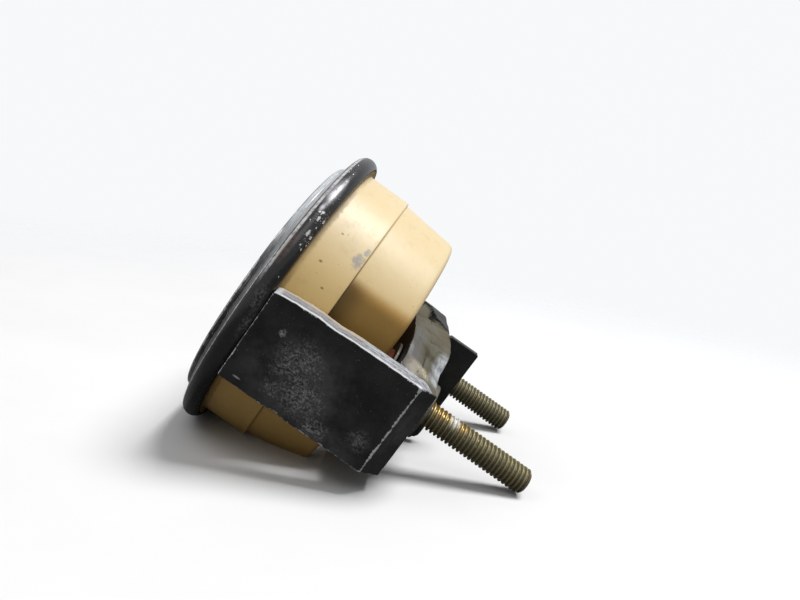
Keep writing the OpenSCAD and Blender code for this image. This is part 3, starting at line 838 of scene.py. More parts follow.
def add(name: str, data: Any) -> bpy.types.Object:
    """Returns a new object of some data, linked to the scene.

    Args:
        name: Its name.
        data: Its mesh, curve, light or camera.

    Returns:
        The object.
    """
    made = bpy.data.objects.new(name, data)
    bpy.context.scene.collection.objects.link(made)
    return made


def polish(made: bpy.types.Object, finish: Finish, sharp: float = 35.0,
           weld: bool = True) -> bpy.types.Object:
    """Smooths a piece and gives it its finish.

    Args:
        made: The piece.
        finish: Its finish.
        sharp: Angle in degrees past which an edge is sharp.
        weld: Whether double points are merged and the faces turned outwards, by the sign of the volume.

    Returns:
        The same piece.
    """
    mesh = made.data
    if weld:
        work = bmesh.new()
        work.from_mesh(mesh)
        bmesh.ops.remove_doubles(work, verts=work.verts, dist=1e-7)
        bmesh.ops.dissolve_degenerate(work, edges=work.edges, dist=1e-8)
        if work.calc_volume(signed=True) < 0:
            bmesh.ops.reverse_faces(work, faces=work.faces)
        work.to_mesh(mesh)
        work.free()
    mesh.materials.clear()
    mesh.materials.append(finish.material())
    mesh.polygons.foreach_set("material_index", np.zeros(len(mesh.polygons), np.int32))
    mesh.polygons.foreach_set("use_smooth", np.ones(len(mesh.polygons), bool))
    mesh.set_sharp_from_angle(angle=math.radians(sharp))
    mesh.update()
    return made


def piece(name: str, rows: Sequence[np.ndarray], faces: Sequence[Sequence[int]], finish: Finish,
          sharp: float = 35.0) -> bpy.types.Object:
    """Makes a mesh object at the origin from rows of points in millimetres and faces of point numbers.

    Args:
        name: Its name.
        rows: Arrays of points, in millimetres.
        faces: Point numbers of each face.
        finish: Its finish.
        sharp: Angle in degrees past which an edge is sharp.

    Returns:
        The object.
    """
    mesh = bpy.data.meshes.new(name)
    mesh.from_pydata((np.concatenate(rows) * MM).tolist(), [], [list(face) for face in faces])
    return polish(add(name, mesh), finish, sharp)


def grid_faces(rows: int, columns: int, closed: bool = True) -> list[list[int]]:
    """Returns the quads between rings of points, and from the last ring to the first where closed.

    Args:
        rows: Number of rings.
        columns: Points of each ring.
        closed: Whether the last ring meets the first.

    Returns:
        The faces.
    """
    faces = []
    for i in range(rows if closed else rows - 1):
        for j in range(columns):
            here, below, right = i * columns, (i + 1) % rows * columns, (j + 1) % columns
            faces.append([here + j, below + j, below + right, here + right])
    return faces


def arc(x: float, r: float, radius: float, start: float, end: float, steps: int = 8) -> Profile:
    """Returns points of an arc about (x, r), with angles in degrees from the outward radius towards +X."""
    turns = [math.radians(start + (end - start) * i / steps) for i in range(steps + 1)]
    return [(x + radius * math.sin(a), r + radius * math.cos(a)) for a in turns]


def soften(profile: Profile, radius: float) -> Profile:
    """Rounds the corners of a closed profile that turn by 25 degrees or more, but not those on the axis.

    Args:
        profile: Its points.
        radius: Radius of the rounding, held to a third of the shorter side.

    Returns:
        The new profile.
    """
    result: Profile = []
    for i, corner in enumerate(profile):
        here = np.array(corner)
        back, on = np.array(profile[i - 1]) - here, np.array(profile[(i + 1) % len(profile)]) - here
        a, b = np.linalg.norm(back), np.linalg.norm(on)
        turn = math.degrees(math.acos(max(-1.0, min(1.0, float(back @ on) / (a * b)))))
        if turn > 155 or corner[1] == 0:
            result.append(corner)
            continue
        cut = min(radius / math.tan(math.radians(turn / 2)), a / 3, b / 3)
        first, last = here + back / a * cut, here + on / b * cut
        for t in (k / 3 for k in range(4)):
            point = first * (1 - t) ** 2 + here * 2 * t * (1 - t) + last * t ** 2
            result.append((float(point[0]), float(point[1])))
    return result


def ring(angles: np.ndarray, x: Any, radii: Any, centre: Place = (0.0, 0.0)) -> np.ndarray:
    """Returns a ring of points about an axis along X, in millimetres."""
    turned = np.stack([centre[0] + radii * np.cos(angles), centre[1] + radii * np.sin(angles)])
    return np.stack([x + 0 * angles, *turned], 1)


def circle(turns: int) -> np.ndarray:
    """Returns equal angles round a circle."""
    return np.arange(turns) * 2 * math.pi / turns


def lathe(name: str, profile: Profile, finish: Finish, centre: Place = (0.0, 0.0), turns: int = 96,
          shape: Callable[[float, float, float], float] | None = None,
          sharp: float = 35.0) -> bpy.types.Object:
    """Turns a closed profile about an axis along X.

    Args:
        name: Name of the piece.
        profile: Its points, as (x, r) in millimetres.
        finish: Its finish.
        centre: Y and Z of the axis.
        turns: Points round the axis.
        shape: Gives a radius from x, r and the angle from +Y.
        sharp: Angle in degrees past which an edge is sharp.

    Returns:
        The object.
    """
    angles = circle(turns)
    rows = []
    for x, r in profile:
        radii = np.array([shape(x, r, a) for a in angles]) if shape else r
        rows.append(ring(angles, x, radii, centre))
    return piece(name, rows, grid_faces(len(profile), turns), finish, sharp)


def ring_profile(x0: float, x1: float, r: float, bore: float, edge: float = 0.12) -> Profile:
    """Returns the profile of a ring with rounded edges."""
    return soften([(x0, bore), (x0, r), (x1, r), (x1, bore)], edge)


def plugs(x0: float, x1: float, r: float, centres: Sequence[Place], edge: float = 0.0,
          turns: int = 48) -> list[bpy.types.Object]:
    """Returns solid rods along X, to cut holes or add bosses, with rounded edges where edge isn't 0."""
    profile = [(x0, 0.0), (x0, r), (x1, r), (x1, 0.0)]
    return [lathe("plug", soften(profile, edge) if edge else profile, CREAM, at, turns) for at in centres]


def baked(made: bpy.types.Object) -> bpy.types.Mesh:
    """Returns the plain mesh of an object with its modifiers applied.

    Args:
        made: The object.

    Returns:
        The mesh.
    """
    depsgraph = bpy.context.evaluated_depsgraph_get()
    given = made.evaluated_get(depsgraph)
    return bpy.data.meshes.new_from_object(given, preserve_all_data_layers=True, depsgraph=depsgraph)


def settle_modifier(made: bpy.types.Object, modifier: bpy.types.Modifier) -> None:
    """Puts the result of a modifier in the place of an object's mesh and removes the modifier.

    Args:
        made: The object.
        modifier: Its only modifier.
    """
    mesh, old = baked(made), made.data
    made.modifiers.remove(modifier)
    made.data = mesh
    bpy.data.meshes.remove(old)


def carve(body: bpy.types.Object, tools: Sequence[bpy.types.Object], mode: str = "DIFFERENCE") -> None:
    """Cuts closed meshes from a piece, or adds them to it with UNION; the tools are removed.

    Args:
        body: The piece.
        tools: The closed meshes.
        mode: The operation.
    """
    for tool in tools:
        cut = body.modifiers.new("cut", "BOOLEAN")
        cut.operation, cut.object, cut.solver = mode, tool, "EXACT"
        settle_modifier(body, cut)
        bpy.data.objects.remove(tool)


def join(name: str, parts: Sequence[bpy.types.Object], finish: Finish) -> bpy.types.Object:
    """Joins meshes into one object with one finish; the parts are removed.

    Args:
        name: Its name.
        parts: The objects to join.
        finish: The finish.

    Returns:
        The joined object.
    """
    work = bmesh.new()
    for part in parts:
        work.from_mesh(part.data)
        bpy.data.objects.remove(part)
    mesh = bpy.data.meshes.new(name)
    work.to_mesh(mesh)
    work.free()
    return polish(add(name, mesh), finish, weld=False)


def settle(made: bpy.types.Object, finish: Finish, *nodes: str, body: Body = Body.INSTRUMENT) -> None:
    """Lets a finished piece ride a body and hides the nodes that it stands for.

    Args:
        made: The piece.
        finish: Its finish.
        *nodes: The nodes that it replaces.
        body: The body that carries it.
    """
    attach(made, body.value)
    finish.slot or finish.name
    if nodes:
        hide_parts(*nodes)
    count = len(made.data.polygons)
    LOG.info("%s rides %s, %d faces, for %s", made.name, body.value, count, nodes or "no node")


# Geometry Nodes


@dataclass
class Recipe(Graph):
    """A Geometry Nodes tree with named inputs."""

    @classmethod
    def start(cls, name: str) -> "Recipe":
        """Returns a tree with a geometry input and output, and its group input.

        Args:
            name: Its name.

        Returns:
            The recipe.
        """
        recipe = cls(bpy.data.node_groups.new(name, "GeometryNodeTree"))
        for side in ("OUTPUT", "INPUT"):
            recipe.tree.interface.new_socket("Geometry", in_out=side, socket_type="NodeSocketGeometry")
        recipe.source = recipe.node("NodeGroupInput")
        return recipe

    def sizes(self, *names: str, kind: str = "Float") -> list[Term]:
        """Adds named inputs of one kind and returns them.

        Args:
            *names: Their names.
            kind: Kind of their sockets.

        Returns:
            The inputs.
        """
        for name in names:
            self.tree.interface.new_socket(name, in_out="INPUT", socket_type="NodeSocket" + kind)
        return [Term(self, self.source.outputs[name]) for name in names]

    def close(self, geometry: Any) -> None:
        """Ends the tree in Realize Instances and Set Material.

        Args:
            geometry: What comes before them.
        """
        plain = self.term("GeometryNodeRealizeInstances", {0: geometry})
        material = self.sizes("Finish", kind="Material")[0]
        dressed = self.term("GeometryNodeSetMaterial", {"Geometry": plain, "Material": material})
        self.node("NodeGroupOutput", {0: dressed})

    def cook(self, name: str, finish: Finish, lengths: dict[str, float], others: dict[str, Any],
             sharp: float = 35.0) -> bpy.types.Object:
        """Runs the tree and keeps its result as a plain mesh.

        Args:
            name: Name of the piece.
            finish: Its finish.
            lengths: Values of the named inputs that are lengths, in millimetres.
            others: Values of the other named inputs.
            sharp: Angle in degrees past which an edge is sharp.

        Returns:
            The piece.
        """
        holder = add(name, bpy.data.meshes.new(name))
        modifier = holder.modifiers.new("recipe", "NODES")
        modifier.node_group = self.tree
        values = {key: value * MM for key, value in lengths.items()} | others | {"Finish": finish.material()}
        for item in self.tree.interface.items_tree:
            if item.in_out == "INPUT" and item.name in values:
                modifier[item.identifier] = values[item.name]
        settle_modifier(holder, modifier)
        holder.data.name = name
        return polish(holder, finish, sharp)


def thread_recipe() -> Recipe:
    """Returns the tree of a screw thread: a sheared grid whose columns climb one pitch in a turn.

    Returns:
        The recipe.
    """
    g = Recipe.start("screw_thread")
    start, end, crest, depth, pitch = g.sizes("Start", "End", "Crest radius", "Depth", "Pitch")
    chamfer, axis, wear = g.sizes("Chamfer", "Axis Y", "Wear")
    around, per_pitch = g.sizes("Points round", "Points per pitch", kind="Int")
    pitches = math.ceil((end - start) / pitch + 2.0)
    sheet = g.term("GeometryNodeMeshGrid", {
        "Size X": 1.0, "Size Y": 1.0, "Vertices X": around + 1.0, "Vertices Y": pitches * per_pitch + 1.0})
    across, up, _ = g.split(g.term("GeometryNodeInputPosition"))
    turn = across + 0.5
    run = (up + 0.5) * pitches
    angle = turn * (2 * math.pi)
    flank = abs((run + 0.0001).fraction() * 2.0 - 1.0).band(0.22, 0.86)
    where = g.join(run * 0.35, angle.cos(), angle.sin())
    rough = g.term("ShaderNodeTexNoise", {"Vector": where, "Scale": 2.0})
    radius = crest - (depth * (1.0 - flank) + rough * wear * flank)
    raw = start - pitch + (run + turn) * pitch
    x = raw.most(start).least(end)
    radius = radius.least(crest - chamfer + (end - x))
    past = (raw - end).most(start - raw)
    radius = radius * g.math("SUBTRACT", 1.0, past.most(0.0) / (pitch * 0.8), clamp=True)
    spot = g.join(x, axis + radius * angle.cos(), radius * angle.sin())
    g.close(g.term("GeometryNodeSetPosition", {"Geometry": sheet, "Position": spot}))
    return g


def tick_recipe() -> Recipe:
    """Returns the tree of a dial's scale: bars along an arc, with longer ones at equal steps.

    Returns:
        The recipe.
    """
    g = Recipe.start("dial_scale")
    radius, sweep, short, tall = g.sizes("Inner radius", "Half sweep", "Short length", "Long length")
    thin, wide, face, drop, thick = g.sizes("Thin width", "Wide width", "Face X", "Pivot drop", "Thickness")
    count, step = g.sizes("Count", "Long step", kind="Int")
    index = g.term("GeometryNodeInputIndex")
    angle = (index / (count - 1.0) * 2.0 - 1.0) * sweep
    major = g.math("COMPARE", index % step, 0.0, 0.1)
    length = short + major * (tall - short)
    width = thin + major * (wide - thin)
    middle = radius + length * 0.5
    spot = g.join(face - thick * 0.5, middle * angle.sin(), middle * angle.cos() - drop)
    line = g.term("GeometryNodeMeshLine", {"Count": count})
    many = g.term("GeometryNodeInstanceOnPoints", {
        "Points": g.term("GeometryNodeSetPosition", {"Geometry": line, "Position": spot}),
        "Instance": g.term("GeometryNodeMeshCube", {"Size": (1.0, 1.0, 1.0)}),
        "Rotation": g.join(angle * -1.0, 0.0, 0.0),
        "Scale": g.join(thick, width, length)})
    g.close(many)
    return g


def pair_recipe() -> Recipe:
    """Returns the tree that sets copies of one piece at equal steps along Y.

    Returns:
        The recipe.
    """
    g = Recipe.start("equal_copies")
    first, step = g.sizes("First Y", "Step")
    model, count = g.sizes("Model", kind="Object")[0], g.sizes("Count", kind="Int")[0]
    line = g.term("GeometryNodeMeshLine", {
        "Count": count, "Start Location": g.join(0.0, first, 0.0), "Offset": g.join(0.0, step, 0.0)})
    given = g.term("GeometryNodeObjectInfo", {"Object": model}, "Geometry")
    g.close(g.term("GeometryNodeInstanceOnPoints", {"Points": line, "Instance": given}))
    return g


def pair(name: str, model: bpy.types.Object, finish: Finish, half: float, node: str,
         body: Body = Body.INSTRUMENT) -> None:
    """Sets two copies of a piece along Y with Geometry Nodes, in the place of a node; the model is removed.

    Args:
        name: Name of the result.
        model: The piece to copy, about Y = 0.
        finish: Its finish.
        half: Distance of each copy from Y = 0, in millimetres.
        node: The node that it replaces.
        body: The body that carries it.
    """
    places = {"First Y": -half, "Step": 2 * half}
    made = pair_recipe().cook(name, finish, places, {"Model": model, "Count": 2})
    bpy.data.objects.remove(model)
    settle(made, finish, node, body=body)


# Sub-assemblies


@dataclass
class Bezel:
    """The spun bezel with its rolled rim, crease and raised front ring."""

    radius: float = 28.572
    rim_radius: float = 1.85
    rim_mid: float = 1.65
    wall: float = 0.7
    crease_x: float = -3.2
    foot_x: float = -4.15
    foot_r: float = 24.95
    ring_r: float = 24.2
    front_x: float = -5.2
    window_r: float = 21.8
    lens_x: float = -4.5
    seat_r: float = 23.5
    lip_r: float = 27.4

    def profile(self) -> Profile:
        """Returns the section of the sheet.

        Returns:
            Its points, as (x, r) in millimetres.
        """
        centre = self.radius - self.rim_radius
        inner = self.rim_radius - self.wall
        rear = math.degrees(math.asin(self.rim_mid / self.rim_radius))
        fold = math.degrees(math.asin((-self.crease_x - self.rim_mid) / self.rim_radius))
        lip = math.degrees(math.asin((self.rim_mid - self.wall) / inner))
        crease_r = centre + self.rim_radius * math.cos(math.radians(fold))
        slope = (self.foot_x - self.crease_x) / (self.foot_r - crease_r)
        in_x = -self.rim_mid - inner * math.sin(math.radians(fold))
        in_r = centre + inner * math.cos(math.radians(fold))
        rim = arc(-self.rim_mid, centre, self.rim_radius, rear, -fold, 22)
        rolled = arc(-self.rim_mid, centre, inner, -fold, lip, 12)
        brow = [(self.crease_x - 0.10, crease_r - 0.22), (self.crease_x - 0.16, crease_r - 0.42)]
        front = arc(self.front_x + 0.5, self.ring_r - 0.5, 0.5, 0, -90, 6)
        edge = arc(self.front_x + 0.25, self.window_r + 0.25, 0.25, -90, -180, 4)
        corner = soften([(self.foot_x, self.foot_r + 0.6), (self.foot_x + 0.02, self.foot_r),
                         (self.foot_x, self.ring_r + 0.02), (self.foot_x - 0.3, self.ring_r)], 0.12)
        face = [(self.crease_x + slope * (r - crease_r), r)
                for r in np.linspace(crease_r - 0.9, self.foot_r + 0.8, 6)]
        back = [(self.lens_x, self.window_r), (self.lens_x, self.seat_r),
                (in_x + slope * (self.seat_r - in_r), self.seat_r)]
        hem = [(-self.wall, self.lip_r), (-0.06, self.lip_r), (0.0, self.lip_r + 0.06),
               (0.0, rim[0][1] - 0.05)]
        foot = [(self.foot_x + 0.06, self.foot_r + 0.1)] + corner[4:]
        return rim + brow + face + foot + front + edge + back + rolled + hem

    def shape(self, x: float, r: float, angle: float) -> float:
        """Returns a radius with the faint waves and knocks of an old rim, never past its own size.

        Args:
            x: Place along the axis.
            r: Radius of the profile.
            angle: Angle from +Y.

        Returns:
            The radius.
        """
        if r < 25.0 or x > -0.02:
            return r
        y, z = math.cos(angle), math.sin(angle)
        knock = noise.noise(Vector((7.3 + x * 0.8, y * 14.0, z * 14.0)))
        dent = 0.03 * abs(noise.noise(Vector((x * 0.25, y * 3.0, z * 3.0)))) + 0.07 * max(0.0, knock - 0.34)
        return r - (dent if abs(math.sin(2 * angle)) > 0.02 else 0.0)

    def build(self) -> None:
        """Makes the bezel."""
        made = lathe("bezel_sheet", self.profile(), ENAMEL, turns=360, shape=self.shape, sharp=40)
        settle(made, ENAMEL, "bezel")


@dataclass
class Case:
    """The moulded cream case: a round barrel, and behind its step a tapered part with two flat sides."""

    barrel_r: float = 26.0
    barrel_len: float = 8.4
    taper_r: float = 25.5
    rear_r: float = 24.4
    depth: float = 19.7
    flat_depth: float = 2.9
    flat_round: float = 5.0
    wall: float = 1.7
    floor_x: float = 17.7
    bore_r: float = 24.3
    ledge_x: float = 2.8
    ledge_r: float = 22.8
    flange_r: float = 27.27
    flange_x: float = -0.03
    mouth_x: float = -2.51
    shelf_x: float = 6.7
    rear_round: float = 0.8
    boss_x: Place = (13.2, 18.6)
    boss_z: Place = (14.0, -20.0)
    boss_r: float = 3.0
    edge: float = 0.16
    stud_y: float = 15.6
    hole_r: float = 2.205

    def radial(self, x: float, angle: float) -> float:
        """Returns the distance from the axis to the tapered part's round and flat sides, in one direction.

        Args:
            x: Place along the axis.
            angle: Angle from +Y.

        Returns:
            The distance.
        """
        span = self.depth - self.barrel_len
        taper = (self.taper_r - self.rear_r) * (min(x, self.depth) - self.barrel_len) / span
        round_r = self.taper_r - taper
        flat = round_r - self.flat_depth
        small = self.flat_round
        turn = abs(math.atan2(math.sin(angle), abs(math.cos(angle))))
        away = round_r - small
        rise = math.sqrt(away ** 2 - (flat - small) ** 2)
        lean = math.atan2(rise, flat - small)
        if turn <= math.atan2(rise, flat):
            return flat / math.cos(turn)
        if turn >= lean:
            return round_r
        return away * math.cos(turn - lean) + math.sqrt(small ** 2 - (away * math.sin(turn - lean)) ** 2)

    def build(self) -> None:
        """Makes the shell, its bosses and its holes."""
        length, edge = self.barrel_len, self.edge
        rear = arc(self.depth - self.rear_round, -self.rear_round, self.rear_round, 0, 90, 8)[::-1]
        sides = rear + [(x, 0.0) for x in np.linspace(self.depth - 1.6, length + 0.35, 12)]
        sides += [(length + 0.1, 0.0), (length, 0.04)]
        barrel = arc(length - edge, self.barrel_r - edge, edge, 0, 90, 4)[::-1]
        barrel += [(x, self.barrel_r) for x in np.linspace(length - 0.5, 0.3, 9)]
        barrel += [(self.flange_x, self.barrel_r + 0.1), (self.flange_x, self.flange_r),
                   (self.mouth_x, self.flange_r), (self.mouth_x, self.bore_r), (self.ledge_x, self.bore_r),
                   (self.ledge_x, self.ledge_r), (self.shelf_x, self.ledge_r)]
        inside = [(self.shelf_x, -self.wall), (self.floor_x, -self.wall)]
        angles = circle(360)
        rows = []
        sections = ((False, [(self.depth, 0.0), (self.depth, 12.0)]), (True, sides), (False, barrel),
                    (True, inside), (False, [(self.floor_x, 11.0), (self.floor_x, 0.0)]))
        for sided, profile in sections:
            for x, r in profile:
                radii = np.array([self.radial(x, a) for a in angles]) + r if sided else r
                rows.append(ring(angles, x, radii))
        shell = piece("case_moulding", rows, grid_faces(len(rows), len(angles), closed=False), CREAM)
        bosses = [(0.0, z) for z in self.boss_z]
        carve(shell, plugs(*self.boss_x, self.boss_r, bosses, 0.1), "UNION")
        carve(shell, plugs(17.0, 20.0, self.hole_r, ((-self.stud_y, 0.0), (self.stud_y, 0.0))))
        polish(shell, CREAM, 32, weld=False)
        settle(shell, CREAM, "case_shell")


@dataclass
class Dial:
    """The printed centre-zero scale and the slotted screws."""

    face_x: float = 2.0
    pivot_drop: float = 8.0
    tick_r: float = 22.4
    half_sweep: float = 40.0
    numeral_r: float = 19.0
    numeral_h: float = 2.9
    numerals: tuple[tuple[str, float], ...] = (
        ("60", -40.0), ("30", -20.0), ("0", 0.0), ("30", 20.0), ("60", 40.0))
    signs: tuple[tuple[str, float], ...] = (("−", 13.4), ("+", -13.4))
    sign_h: float = 4.2
    sign_z: float = -1.2
    screw_y: float = 11.2
    head_x: float = 1.1
    head_r: float = 1.7
    shank_r: float = 0.85
    screw_end: float = 10.0
    slot_x: float = 1.65
    slot_half: float = 0.3
    type_scale: float = 1.35
    ink: float = 0.015
    bold: float = 0.05

    def print_mark(self, text: str, height: float, y: float, z: float, turn: float = 0.0) -> bpy.types.Object:
        """Makes a raised printed mark on the dial.

        Args:
            text: What it reads.
            height: Height of its figures in millimetres.
            y: Its place to the side.
            z: Its place up the dial.
            turn: Its turn in degrees, clockwise as read.

        Returns:
            The mark as a mesh.
        """
        curve = bpy.data.curves.new("mark", "FONT")
        curve.body, curve.size = text, height * MM * self.type_scale
        curve.extrude, curve.offset = self.ink * MM, self.bold * MM
        curve.align_x, curve.align_y, curve.resolution_u = "CENTER", "CENTER", 5
        holder = add("mark", curve)
        bpy.context.view_layer.update()
        mesh = baked(holder)
        bpy.data.objects.remove(holder)
        points = np.array([vertex.co for vertex in mesh.vertices])
        mesh.transform(Matrix.Translation(-Vector((points.max(0) + points.min(0)) / 2)))
        upright = Matrix(((0, 0, -1, 0), (-1, 0, 0, 0), (0, 1, 0, 0), (0, 0, 0, 1)))
        place = Matrix.Translation(Vector((self.face_x - 0.018, y, z)) * MM)
        mesh.transform(place @ Matrix.Rotation(math.radians(turn), 4, "X") @ upright)
        return polish(add("mark", mesh), WHITE, 30)

    def build(self) -> None:
        """Makes the scale and the two slotted cheese-head screws."""
        lengths = {"Inner radius": self.tick_r, "Short length": 1.7, "Long length": 3.1,
                   "Thin width": 0.26, "Wide width": 0.62, "Face X": self.face_x,
                   "Pivot drop": self.pivot_drop, "Thickness": 0.05}
        others = {"Half sweep": math.radians(self.half_sweep), "Count": 25, "Long step": 6}
        marks = [tick_recipe().cook("ticks", WHITE, lengths, others, 30)]
        for text, angle in self.numerals:
            y = -self.numeral_r * math.sin(math.radians(angle))
            z = self.numeral_r * math.cos(math.radians(angle)) - self.pivot_drop
            marks.append(self.print_mark(text, self.numeral_h, y, z, angle))
        marks += [self.print_mark(text, self.sign_h, y, self.sign_z) for text, y in self.signs]
        settle(join("dial_scale", marks, WHITE), WHITE)

        front, face, end = self.head_x, self.face_x, self.screw_end
        head = soften([(front, 0.0), (front, self.head_r), (face, self.head_r), (face, self.shank_r),
                       (end, self.shank_r), (end, 0.0)], 0.14)
        screw = lathe("screw", head, SLOTTED, (0.0, -self.pivot_drop), 64)
        heights = (-self.slot_half - self.pivot_drop, self.slot_half - self.pivot_drop)
        corners = np.array([(x, y, z) for x in (0.6, self.slot_x) for y in (-3, 3) for z in heights])
        sides = [[0, 1, 3, 2], [4, 6, 7, 5], [0, 4, 5, 1], [2, 3, 7, 6], [0, 2, 6, 4], [1, 5, 7, 3]]
        carve(screw, [piece("slot", [corners], sides, SLOTTED)])
        pair("dial_screw_pair", screw, SLOTTED, self.screw_y, "dial_screws")


@dataclass
class Studs:
    """The two terminal studs with rolled threads, their nuts and fibre washers."""

    stud_y: float = 15.6
    crest_r: float = 2.415
    shank_r: float = 2.155
    thread_depth: float = 0.46
    pitch: float = 0.79375
    thread_x: float = 29.9
    end_x: float = 52.0
    head_x: float = 13.9
    bar_x: float = 16.2
    case_x: float = 19.7
    nut_x: float = 20.9
    nut_t: float = 0.5
    nut_r: float = 7.15
    head_af: float = 8.0
    fibre_r: float = 5.6

    def head(self, finish: Finish) -> bpy.types.Object:
        """Makes the hexagon head about Y = 0, with its rear corners chamfered.

        Args:
            finish: Its finish.

        Returns:
            The head.
        """
        angles = circle(96)
        side = self.head_af / 2 / np.cos(np.mod(angles + math.pi / 6, math.pi / 3) - math.pi / 6)
        face = np.minimum(side, self.head_af / 2 * 1.03)
        drop = (side - face) * math.tan(math.radians(27))
        front, rear = self.head_x, self.bar_x
        levels = ((front, 0.0), (front, face - 0.05), (front + 0.02, face), (front + 0.02, side),
                  (rear - 0.02 - drop, side), (rear - 0.02, face), (rear, face - 0.05), (rear, 0.0))
        rows = [ring(angles, x, radii) for x, radii in levels]
        return piece("head", rows, grid_faces(len(rows), len(angles)), finish, 22)

    def stud(self, side: Side, finish: Finish, node: str) -> None:
        """Makes one stud: its head, shank and thread.

        Args:
            side: The side of the instrument.
            finish: Its finish.
            node: The node that it replaces.
        """
        y = side.value * self.stud_y
        head = self.head(finish)
        head.data.transform(Matrix.Translation((0.0, y * MM, 0.0)))
        start, end = self.bar_x - 0.2, self.thread_x + 0.3
        section = soften([(start, 0.0), (start, self.shank_r), (end, self.shank_r), (end, 0.0)], 0.1)
        shank = lathe("shank", section, finish, (y, 0.0), 64)
        lengths = {"Start": self.thread_x, "End": self.end_x, "Crest radius": self.crest_r, "Axis Y": y,
                   "Depth": self.thread_depth, "Pitch": self.pitch, "Chamfer": 0.55, "Wear": 0.07}
        counts = {"Points round": 56, "Points per pitch": 14}
        thread = thread_recipe().cook("thread", finish, lengths, counts, 50)
        settle(join(node + "_screw", [head, shank, thread], finish), finish, node)

    def build(self) -> None:
        """Makes the studs and what is on them."""
        self.stud(Side.NEAR, NEAR_ZINC, "near_stud")
        self.stud(Side.FAR, FAR_ZINC, "far_stud")
        bore = self.shank_r + 0.05
        section = ring_profile(self.nut_x, self.nut_x + self.nut_t, self.nut_r, bore, 0.1)
        nut = lathe("nut", section, DIRTY_STEEL, turns=128)
        pair("stud_nut_pair", nut, DIRTY_STEEL, self.stud_y, "stud_nuts")
        section = ring_profile(self.case_x, self.nut_x, self.fibre_r, bore, 0.08)
        pair("fibre_washer_pair", lathe("washer", section, FIBRE), FIBRE, self.stud_y, "fibre_washers")


@dataclass
class Station:
    """A cross-section of the clamp, at a place on its outer line."""

    x: float
    y: float
    web: bool
    inner: float


